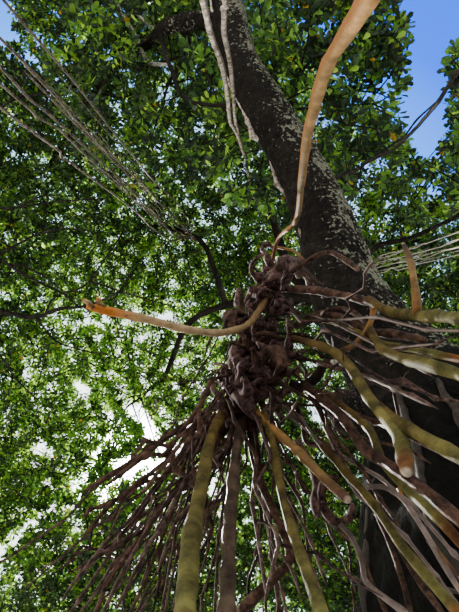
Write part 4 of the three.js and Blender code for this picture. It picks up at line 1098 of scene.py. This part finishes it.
# finish, thickness at the start and at the tip in millimetres, and stations in metres
NEAR_ROOTS = [
    ("brown", 19, 18, [[-0.620, -1.134, 2.570], [-0.550, -1.120, 2.510], [-0.463, -1.109, 2.430],
                       [-0.389, -1.085, 2.330]]),
    ("olive", 20, 17, [[-0.398, -1.093, 2.335], [-0.380, -1.076, 2.270], [-0.366, -1.072, 2.110],
                       [-0.363, -1.071, 1.970], [-0.351, -1.063, 1.850]]),
    ("brown", 12, 13, [[-0.591, -1.126, 2.560], [-0.520, -1.179, 2.570], [-0.453, -1.213, 2.550],
                       [-0.415, -1.191, 2.510], [-0.391, -1.162, 2.470]]),
    ("orange", 8, 7, [[-0.594, -1.246, 2.680], [-0.534, -1.228, 2.640], [-0.502, -1.194, 2.600]]),
    ("orange", 11, 12, [[-0.385, -1.089, 2.330], [-0.403, -1.043, 2.300], [-0.429, -1.006, 2.300],
                        [-0.463, -0.981, 2.340]]),
    ("orange", 14, 10, [[-0.371, -1.072, 2.110], [-0.363, -1.120, 2.150], [-0.356, -1.156, 2.190],
                        [-0.356, -1.200, 2.230]]),
    ("olive", 15, 13, [[-0.490, -1.049, 2.470], [-0.437, -1.036, 2.380], [-0.386, -1.010, 2.280],
                       [-0.339, -1.005, 2.190], [-0.307, -1.004, 2.050]]),
    ("olive", 18, 17, [[-0.401, -1.040, 2.320], [-0.403, -1.009, 2.230], [-0.388, -1.001, 2.090],
                       [-0.371, -1.000, 1.950], [-0.352, -0.994, 1.830]]),
    ("olive", 18, 18, [[-0.559, -1.004, 2.430], [-0.470, -0.985, 2.270], [-0.448, -0.936, 2.090],
                       [-0.440, -0.916, 1.970], [-0.457, -0.900, 1.870]]),
    ("olive", 17, 15, [[-0.445, -0.932, 2.080], [-0.431, -0.930, 1.970], [-0.412, -0.931, 1.850],
                       [-0.393, -0.927, 1.770]]),
    ("brown", 19, 15, [[-0.529, -0.913, 2.330], [-0.480, -0.885, 2.210], [-0.451, -0.850, 2.110],
                       [-0.423, -0.850, 2.010], [-0.390, -0.839, 1.900], [-0.364, -0.821, 1.840]]),
    ("olive", 14, 13, [[-0.491, -0.905, 2.300], [-0.450, -0.882, 2.230], [-0.432, -0.868, 2.150],
                       [-0.429, -0.838, 2.090], [-0.413, -0.822, 2.030], [-0.403, -0.822, 1.950],
                       [-0.386, -0.812, 1.880]]),
    ("olive", 14, 14, [[-0.511, -0.821, 2.250], [-0.470, -0.786, 2.190], [-0.436, -0.760, 2.110],
                       [-0.416, -0.738, 2.030], [-0.392, -0.722, 1.950], [-0.376, -0.715, 1.890]]),
    ("pale", 8, 8, [[-0.455, -0.797, 2.090], [-0.431, -0.802, 2.080], [-0.415, -0.799, 2.060],
                    [-0.404, -0.790, 2.030], [-0.396, -0.776, 1.990], [-0.389, -0.759, 1.950],
                    [-0.382, -0.745, 1.900]]),
    ("orange", 5, 5, [[-0.411, -0.805, 2.070], [-0.401, -0.783, 2.030], [-0.392, -0.769, 1.980],
                      [-0.382, -0.762, 1.910]]),
    ("pale", 9, 9, [[-0.487, -0.712, 2.140], [-0.471, -0.696, 2.120], [-0.460, -0.674, 2.100],
                    [-0.459, -0.660, 2.070], [-0.440, -0.660, 2.030], [-0.417, -0.672, 1.970]]),
    ("brown", 8, 9, [[-0.429, -0.736, 2.130], [-0.420, -0.713, 2.090], [-0.418, -0.694, 2.030],
                     [-0.419, -0.672, 1.970]]),
    ("brown", 7, 9, [[-0.419, -0.731, 2.120], [-0.410, -0.715, 2.070], [-0.404, -0.706, 2.010],
                     [-0.391, -0.702, 1.930]]),
    ("knot", 13, 17, [[-0.555, -0.827, 2.230], [-0.533, -0.792, 2.210], [-0.520, -0.758, 2.190],
                      [-0.528, -0.735, 2.170], [-0.523, -0.716, 2.150]]),
    ("knot", 15, 16, [[-0.484, -0.770, 2.190], [-0.507, -0.768, 2.180], [-0.515, -0.739, 2.170],
                      [-0.506, -0.717, 2.160], [-0.487, -0.707, 2.150], [-0.468, -0.720, 2.150],
                      [-0.465, -0.743, 2.150]]),
    ("cut", 20, 18, [[-0.560, -0.911, 2.350], [-0.528, -0.909, 2.340], [-0.503, -0.935, 2.320],
                     [-0.490, -0.961, 2.310], [-0.474, -0.972, 2.280]]),
    ("brown", 19, 17, [[-0.538, -1.030, 2.470], [-0.482, -1.061, 2.420], [-0.439, -1.052, 2.370],
                       [-0.397, -1.029, 2.320], [-0.358, -1.027, 2.270], [-0.315, -1.020, 2.220]]),
    ("red", 12, 11, [[-0.484, -1.059, 2.410], [-0.444, -1.073, 2.380], [-0.415, -1.061, 2.350],
                     [-0.399, -1.039, 2.330]]),
    ("red", 13, 11, [[-0.527, -0.907, 2.330], [-0.505, -0.872, 2.300], [-0.491, -0.836, 2.270],
                     [-0.476, -0.806, 2.230], [-0.458, -0.772, 2.190]]),
    ("brown", 11, 12, [[-0.547, -0.866, 2.350], [-0.534, -0.831, 2.320], [-0.526, -0.801, 2.300],
                       [-0.487, -0.811, 2.260]]),
    ("olive", 20, 20, [[-0.687, -0.875, 2.370], [-0.714, -0.849, 2.210], [-0.705, -0.836, 1.970],
                       [-0.694, -0.837, 1.820], [-0.684, -0.841, 1.720], [-0.678, -0.841, 1.670]]),
    ("dull", 19, 18, [[-0.661, -0.864, 2.350], [-0.666, -0.814, 2.150], [-0.664, -0.796, 1.970],
                      [-0.658, -0.800, 1.830], [-0.654, -0.795, 1.740]]),
    ("orange", 16, 14, [[-0.662, -0.880, 2.370], [-0.616, -0.851, 2.270], [-0.553, -0.831, 2.130],
                        [-0.519, -0.818, 2.040], [-0.503, -0.815, 1.990]]),
    ("olive", 14, 16, [[-0.620, -0.876, 2.330], [-0.601, -0.832, 2.210], [-0.587, -0.790, 2.050],
                       [-0.571, -0.785, 1.900], [-0.561, -0.791, 1.800], [-0.556, -0.793, 1.750]]),
    ("brown", 13, 15, [[-0.651, -0.871, 2.350], [-0.632, -0.777, 2.230], [-0.603, -0.740, 2.130],
                       [-0.580, -0.714, 2.030], [-0.620, -0.704, 1.970], [-0.651, -0.698, 1.930]]),
    ("brown", 14, 9, [[-0.669, -0.884, 2.370], [-0.770, -0.841, 2.300], [-0.876, -0.780, 2.210],
                      [-0.939, -0.750, 2.150]]),
    ("brown", 19, 17, [[-0.655, -0.880, 2.350], [-0.716, -0.835, 2.300], [-0.782, -0.789, 2.270]]),
    ("honey", 15, 13, [[-0.605, -1.102, 2.530], [-0.629, -1.065, 2.430], [-0.654, -1.040, 2.330],
                       [-0.698, -1.031, 2.250], [-0.749, -1.041, 2.170], [-0.819, -1.066, 2.090],
                       [-0.885, -1.084, 2.030]]),
    ("honey", 10, 8, [[-0.864, -1.082, 2.048], [-0.870, -1.090, 2.044], [-0.871, -1.099, 2.040]]),
    ("honey", 8, 6, [[-0.876, -1.083, 2.036], [-0.885, -1.092, 2.034], [-0.892, -1.096, 2.031]]),
]
ROOT_FINISHES = {
    "brown": root_bark("brown_root", [(0.0, (0.066, 0.031, 0.021)), (0.6, (0.115, 0.058, 0.038)),
                                      (1.0, (0.160, 0.088, 0.058))], (0.022, 0.010, 0.007), 0.5,
                       stripe=0.95, corky=0.010, size=0.015),
    # the red roots' rim paints sunlight on their west-facing side
    "red": root_bark("red_root", [(0.0, (0.038, 0.018, 0.014)), (0.35, (0.062, 0.030, 0.023)),
                                  (1.0, (0.23, 0.142, 0.110))], (0.24, 0.145, 0.11), 0.5,
                     stripe=0.95, corky=0.011, size=0.015,
                     rim=((0.62, 0.50, 0.44), (0.05, 0.85), (0.17, 0))),
    # the knot roots' rim paints sunlight on their west-facing side
    "knot": root_bark("knot_root", [(0.0, (0.150, 0.078, 0.066)), (0.5, (0.105, 0.054, 0.047)),
                                    (1.0, (0.210, 0.120, 0.102))], (0.46, 0.31, 0.26), 0.6,
                      stripe=1.0, corky=0.014, size=0.013,
                      rim=((0.75, 0.60, 0.56), (0.06, 0.9), (0.20, 0))),
    "olive": root_bark("olive_root", [(0.0, (0.10, 0.050, 0.022)), (0.20, (0.13, 0.088, 0.022)),
                                      (0.84, (0.19, 0.175, 0.050)), (0.93, (0.20, 0.080, 0.025)),
                                      (0.98, (0.24, 0.11, 0.04)), (1.0, (0.75, 0.62, 0.45))],
                       (0.10, 0.055, 0.018), 0.6,
                       stripe=0.7, corky=0.005),
    "orange": root_bark("orange_root", [(0.0, (0.34, 0.16, 0.04)), (0.6, (0.26, 0.15, 0.05)),
                                        (0.97, (0.10, 0.045, 0.03)), (1.0, (0.70, 0.56, 0.40))],
                        (0.14, 0.06, 0.03), 0.45),
    "cut": root_bark("cut_root", [(0.0, (0.040, 0.024, 0.018)), (0.955, (0.055, 0.032, 0.024)),
                                  (0.985, (0.80, 0.70, 0.58)), (1.0, (0.90, 0.80, 0.68))],
                     (0.10, 0.06, 0.04), 0.6, stripe=0.8, corky=0.010),
    "dull": root_bark("tan_root", [(0.0, (0.080, 0.050, 0.032)), (1.0, (0.115, 0.078, 0.050))],
                      (0.06, 0.040, 0.026), 0.45, stripe=0.8, corky=0.006),
    "pale": root_bark("tendril_root", [(0.0, (0.15, 0.108, 0.090)), (1.0, (0.30, 0.225, 0.19))],
                      (0.10, 0.07, 0.055), 0.5),
    "honey": root_bark("honey_root", [(0.0, (0.13, 0.065, 0.03)), (0.35, (0.32, 0.20, 0.08)),
                                      (0.62, (0.60, 0.42, 0.22)), (0.84, (0.66, 0.42, 0.20)),
                                      (0.93, (0.78, 0.24, 0.03)), (1.0, (0.80, 0.26, 0.05))],
                       (0.30, 0.10, 0.03), 0.5, stripe=0.35, corky=0.006),
}
tuft = {finish: [] for finish in ROOT_FINISHES}
for number, (finish, first, last, stations) in enumerate(NEAR_ROOTS):
    radius = np.linspace(first, last, len(stations)) / MM_THICK
    tuft[finish].append(strand(np.column_stack([stations, radius]), 500 + number, kink=0.10,
                               knob=0.14, sides=12, close=0.010))


def on_knot(share):
    """A point on the knot's crooked middle line."""
    return np.array([np.interp(share * 4, np.arange(5), KNOT[:, k]) for k in range(3)])


def hanging(random, start, tip, sway):
    """A route that leaves its start outwards and then bends down or up to its tip: a power of the
    way for the flat share and a higher one for the height, with a random step at each of its five
    inner joints and nearly straight runs between them."""
    share = np.array([0, 0.16, 0.34, 0.52, 0.70, 0.86, 1.0])[:, None]
    way = np.hstack([share ** 0.85, share ** 0.85, share ** 1.25])
    joints = start + (tip - start) * way + random.normal(0, sway, (7, 3)) * np.sin(np.pi * share ** 0.7)
    finer = np.linspace(0, 6, 19)
    return np.column_stack([np.interp(finer, np.arange(7), joints[:, k]) for k in range(3)])


# finish, how many, slopes east and south of straight up and heights above the camera between which
# they end, shares of the knot between which they spring, thinnest and thickest in millimetres
FINER_ROOTS = [
    ("red", 23, (-0.52, -0.06), (0.58, 0.86), (0.50, 0.84), 0.70, 1.00, 4, 8),
    ("brown", 9, (-0.42, -0.10), (0.36, 0.80), (0.52, 0.80), 0.65, 1.00, 5, 10),
    ("knot", 9, (-0.26, -0.14), (0.26, 0.42), (0.74, 0.92), 0.25, 0.55, 3, 5),
    ("red", 8, (-0.10, 0.18), (0.60, 0.84), (0.50, 0.80), 0.70, 1.00, 6, 10),
    ("brown", 4, (0.10, 0.55), (0.30, 0.80), (0.60, 0.85), 0.30, 1.00, 5, 9),
    ("red", 6, (0.30, 0.60), (0.05, 0.30), (0.65, 0.92), 0.20, 0.60, 6, 11),
    ("pale", 2, (0.15, 0.55), (0.40, 0.80), (0.52, 0.70), 0.60, 1.00, 5, 8),
]
KNUCKLES = np.linspace(0, 1, 7)


def jointed_root(route, thick, thin, seed, sides, close):
    """A finer root that kinks and swells at each of its knuckles."""
    return strand(np.column_stack([route, np.linspace(thick, thin, len(route))]), seed, kink=0.5,
                  knob=0.9, sides=sides, close=close, joints=KNUCKLES, rough=0.10)


tuft_random = np.random.default_rng(7)
for finish, many, east, south, rise, low, high, thin, thick in FINER_ROOTS:
    for number in range(many):
        height = tuft_random.uniform(*rise)
        tip = CAMERA_AT + height * np.array(
            [tuft_random.uniform(*east), tuft_random.uniform(*south), 1])
        start = on_knot(tuft_random.uniform(low, high)) + tuft_random.normal(0, 0.018, 3)
        route = hanging(tuft_random, start, tip, 0.019)
        wide = tuft_random.uniform(thin, thick) / MM_THICK
        seed = int(tuft_random.integers(1 << 20))
        tuft[finish].append(jointed_root(route, wide, wide * 0.75, seed, sides=8, close=0.012))
        # side roots spring from its joints and cross its neighbours
        for joint in route[3 * tuft_random.choice(5, tuft_random.integers(0, 3), replace=False) + 3]:
            side_tip = joint + (tip - joint) * tuft_random.uniform(0.4, 1.1) \
                + tuft_random.normal(0, 1, 3) * [0.08, 0.08, 0.03]
            side = hanging(tuft_random, joint, side_tip, 0.010)
            tuft[finish].append(jointed_root(
                side, wide * 0.7, wide * 0.45, seed + len(tuft[finish]), sides=7, close=0.015))
# the knot: short crooked roots wound over one another
KNOT_ROOTS = 78
for number in range(KNOT_ROOTS):
    share = tuft_random.uniform(0.0, 1.0) ** 0.8
    middle = on_knot(share) + tuft_random.normal(0, 1, 3) * [0.034, 0.026, 0.034] * (0.35 + share)
    heading = unit(tuft_random.normal(0, 1, 3) + 0.8 * unit(KNOT[-1] - KNOT[0]))
    route = middle + heading * np.linspace(-1, 1, 5)[:, None] * tuft_random.uniform(0.02, 0.075) \
        + tuft_random.normal(0, 0.011, (5, 3))
    radius = tuft_random.uniform(0.0022, 0.0066) * np.array([0.8, 1.1, 1.3, 1.0, 0.6])
    tuft["knot" if number % 4 else "brown"].append(strand(
        np.column_stack([route, radius]), 900 + number, kink=1.0, knob=1.3, sides=8, close=0.006,
        rough=0.30))
# the cord above the knot: strands wound round one middle line
CORD_STRANDS = 3
CORD_LINE = np.array([[-0.20, -1.10, 4.50], [-0.36, -1.16, 3.60], [-0.50, -1.20, 2.95],
                      [-0.56, -1.19, 2.70], [-0.60, -1.12, 2.54]])
for number in range(CORD_STRANDS):
    turns = number * 2 * np.pi / CORD_STRANDS + 0.4 + np.linspace(0, 3.4, len(CORD_LINE))
    cord = CORD_LINE + np.column_stack([np.cos(turns), np.sin(turns), 0 * turns]) * 0.010
    tuft["red"].append(strand(np.column_stack([cord, np.linspace(0.010, 0.013, len(CORD_LINE))]),
                              950 + number, kink=0.5, knob=0.4, sides=9))
for finish, strands in tuft.items():
    root_piece(f"tuft_{finish}_roots", strands, ROOT_FINISHES[finish], ["roots_tuft"])


# The nearest root. It springs from the top of the knot, curls under it and hangs past the camera,
# with a skin that goes from dark brown through olive to cream and orange.
cream_root = root_bark("cream_root", [(0.0, (0.12, 0.055, 0.04)), (0.15, (0.14, 0.095, 0.055)),
                                      (0.40, (0.20, 0.155, 0.085)), (0.66, (0.60, 0.36, 0.15)),
                                      (1.0, (0.90, 0.48, 0.16))],
                       (0.55, 0.20, 0.05), 0.55, stripe=0.45,
                       rim=((0.48, 0.20, 0.06), (0.04, 1), (0.22, 0), (0.78, 0), (0.96, 1)))
root_piece("root_curling_near", [strand([
    [-0.595, -1.170, 2.660, 0.0050], [-0.579, -1.248, 2.600, 0.0050], [-0.545, -1.269, 2.400, 0.0056],
    [-0.552, -1.301, 2.150, 0.0064], [-0.561, -1.314, 1.950, 0.0066],
    [-0.562, -1.303, 1.770, 0.0064], [-0.560, -1.280, 1.660, 0.0065],
    [-0.557, -1.270, 1.590, 0.0070],
], 71, kink=0.12, knob=0.10, sides=20, close=0.006, rough=0.05)], cream_root, ["roots_tuft"])


# Roots grown into the wood: a pale strip fused along the leader's west edge, and cords that run
# down the trunk's flutes into its foot.
leader_route = smooth_path(BOUGHS["leader"][0], 81)
strip_points, strip_radius = leader_route[0][22:66], leader_route[1][22:66]
strip_along = unit(np.gradient(strip_points, axis=0))
west_side = unit(np.cross(strip_along, [0.25, 0.1, -1.0]))
west_side = west_side * np.sign(-west_side[:, :1])
strip_line = strip_points + west_side * (strip_radius * 0.96)[:, None]
strip_wide = 0.007 + 0.011 * np.sin(np.pi * np.linspace(0, 1, len(strip_line)))
root_piece("leader_root_strip", [strand(np.column_stack([strip_line, strip_wide])[::4], 81,
                                        kink=0.8, knob=0.8, sides=12)],
           pale_root, [])
TRUNK_CORDS = 13
trunk_cords = []
for number in range(TRUNK_CORDS):
    random = np.random.default_rng(700 + number)
    angle = number * 2 * np.pi / TRUNK_CORDS + random.normal(0, 0.08)
    heights = np.linspace(0.04, random.uniform(2.6, 3.8), 9)
    angles = angle + np.cumsum(random.normal(0, 0.022, 9))
    middle = [np.interp(heights, trunk_table[:, 2], trunk_table[:, k]) for k in (0, 1, 3)]
    out = trunk_reach(middle[2], heights, angles)
    wide = random.uniform(0.010, 0.024) * np.linspace(1.2, 0.6, 9)
    trunk_cords.append(strand(np.column_stack([
        middle[0] + out * np.cos(angles), middle[1] + out * np.sin(angles), heights, wide]),
        720 + number, kink=0.3, knob=0.25, sides=9, close=0.03))
root_piece("trunk_root_cords", trunk_cords, grey_root, [])


# Hairs on the cut stub. They are dead dry rootlets that stand out all round it, each a three-sided
# spine with its foot sunk in the bark.
HAIRS = 420
hair_random = np.random.default_rng(9)
stub_path, stub_radius = smooth_path(BOUGHS["bough_stub"][0], 40)
pick = hair_random.integers(6, 39, HAIRS)
stub_along, stub_across, stub_up = along_frames(stub_path)
swing = hair_random.uniform(0, 2 * np.pi, HAIRS)[:, None]
hair_out = stub_across[pick] * np.cos(swing) + stub_up[pick] * np.sin(swing)
hair_foot = stub_path[pick] + hair_out * (stub_radius[pick] * 0.98)[:, None]
hair_tip = hair_foot + (hair_out + hair_random.normal(0, 0.5, hair_out.shape)) * \
    hair_random.uniform(0.015, 0.05, (HAIRS, 1))
new_piece("stub_hairs", three_sided(hair_foot, hair_tip, 0.003, 0.001), [pale_root])


# Floor, light and camera. A plain pale floor, a soft high sun behind the crown, a sky that is blue
# to look at and pale in the light that it sheds, and a camera beside the trunk that looks up.
FLOOR_HALF = 60.0
floor_mesh = bpy.data.meshes.new("floor")
floor_mesh.from_pydata([(x, y, -0.003) for x, y in (
    (-FLOOR_HALF, -FLOOR_HALF), (FLOOR_HALF, -FLOOR_HALF), (FLOOR_HALF, FLOOR_HALF),
    (-FLOOR_HALF, FLOOR_HALF))], [], [(0, 1, 2, 3)])
floor = bpy.data.objects.new("floor", floor_mesh)
bpy.context.scene.collection.objects.link(floor)
floor_paint = bpy.data.materials.new("floor_paint")
floor_paint.use_nodes = True
floor_surface = floor_paint.node_tree.nodes["Principled BSDF"]
floor_surface.inputs["Base Color"].default_value = (0.46, 0.45, 0.43, 1)
floor_surface.inputs["Roughness"].default_value = 0.9
floor_mesh.materials.append(floor_paint)

SUN_FROM = Vector((-0.293, 0.376, 1.0)).normalized()
# strengths of the sky's light on the tree, of the sky looked at, and of the sun in it
SKY_LIGHT, SKY_SEEN, SUN_SEEN = 2.0, 5.0, 60.0
sun_light = bpy.data.lights.new("sun", "SUN")
sun_light.energy = 16.0
sun_light.angle = 0.025
sun_light.color = (1.0, 0.96, 0.88)
sun = bpy.data.objects.new("sun", sun_light)
sun.rotation_mode = "QUATERNION"
sun.rotation_quaternion = SUN_FROM.to_track_quat("Z", "Y")
bpy.context.scene.collection.objects.link(sun)

world = bpy.data.worlds.new("sky")
bpy.context.scene.world = world
world.use_nodes = True
sky = world.node_tree
sky.nodes.clear()
heading = add_node(sky, "ShaderNodeTexCoord").outputs["Generated"]
toward = add_node(sky, "ShaderNodeVectorMath", {"operation": "DOT_PRODUCT"})
sky.links.new(heading, toward.inputs[0])
toward.inputs[1].default_value = SUN_FROM
upward = add_node(sky, "ShaderNodeSeparateXYZ", Vector=heading).outputs["Z"]
high = ramp(sky, upward, [(0.30, (0, 0, 0)), (0.62, (1, 1, 1))])
# light that falls on the tree, and the deeper blue of the same sky where it is looked at
falling = ramp(sky, toward.outputs["Value"], [
    (0.0, (0.55, 0.62, 0.72)), (0.55, (0.26, 0.38, 0.66)), (0.80, (0.45, 0.60, 0.90)),
    (0.97, (1.0, 1.0, 1.0))])
falling = blend_colours(sky, high, (0.60, 0.61, 0.62), falling)
looked_at = ramp(sky, toward.outputs["Value"], [
    (0.30, (0.0, 0.044, 0.40)), (0.55, (0.0, 0.060, 0.48)), (0.66, (0.03, 0.15, 0.54)),
    (0.75, (0.20, 0.35, 0.52)), (0.90, (0.38, 0.52, 0.56)), (0.96, (0.55, 0.66, 0.66)),
    (0.985, (0.90, 0.94, 0.96))])
looked_at = blend_colours(sky, high, (0.32, 0.328, 0.336), looked_at)
falling = add_node(sky, "ShaderNodeBackground", Color=falling, Strength=SKY_LIGHT)
round_sun = ramp(sky, toward.outputs["Value"], [(0.9955, (0, 0, 0)), (0.9990, (1, 1, 1))])
looked_at = add_node(sky, "ShaderNodeBackground", Color=looked_at,
                     Strength=multiply_add(sky, round_sun, SUN_SEEN, SKY_SEEN))
either = add_node(sky, "ShaderNodeMixShader",
                  Fac=add_node(sky, "ShaderNodeLightPath").outputs["Is Camera Ray"])
sky.links.new(falling.outputs[0], either.inputs[1])
sky.links.new(looked_at.outputs[0], either.inputs[2])
add_node(sky, "ShaderNodeOutputWorld", Surface=either.outputs[0])

camera_data = bpy.data.cameras.new("camera")
camera_data.sensor_width = 36
camera_data.lens = camera_data.sensor_width * FOCAL_PIXELS / PICTURE_HIGH
camera_data.clip_start, camera_data.clip_end = 0.02, 200
camera = bpy.data.objects.new("camera", camera_data)
facing = Matrix([PICTURE_RIGHT.tolist(), (-PICTURE_DOWN).tolist(), (-LOOKING).tolist()]).transposed()
camera.matrix_world = Matrix.Translation(CAMERA_AT.tolist()) @ facing.to_4x4()
bpy.context.scene.collection.objects.link(camera)
bpy.context.scene.camera = camera
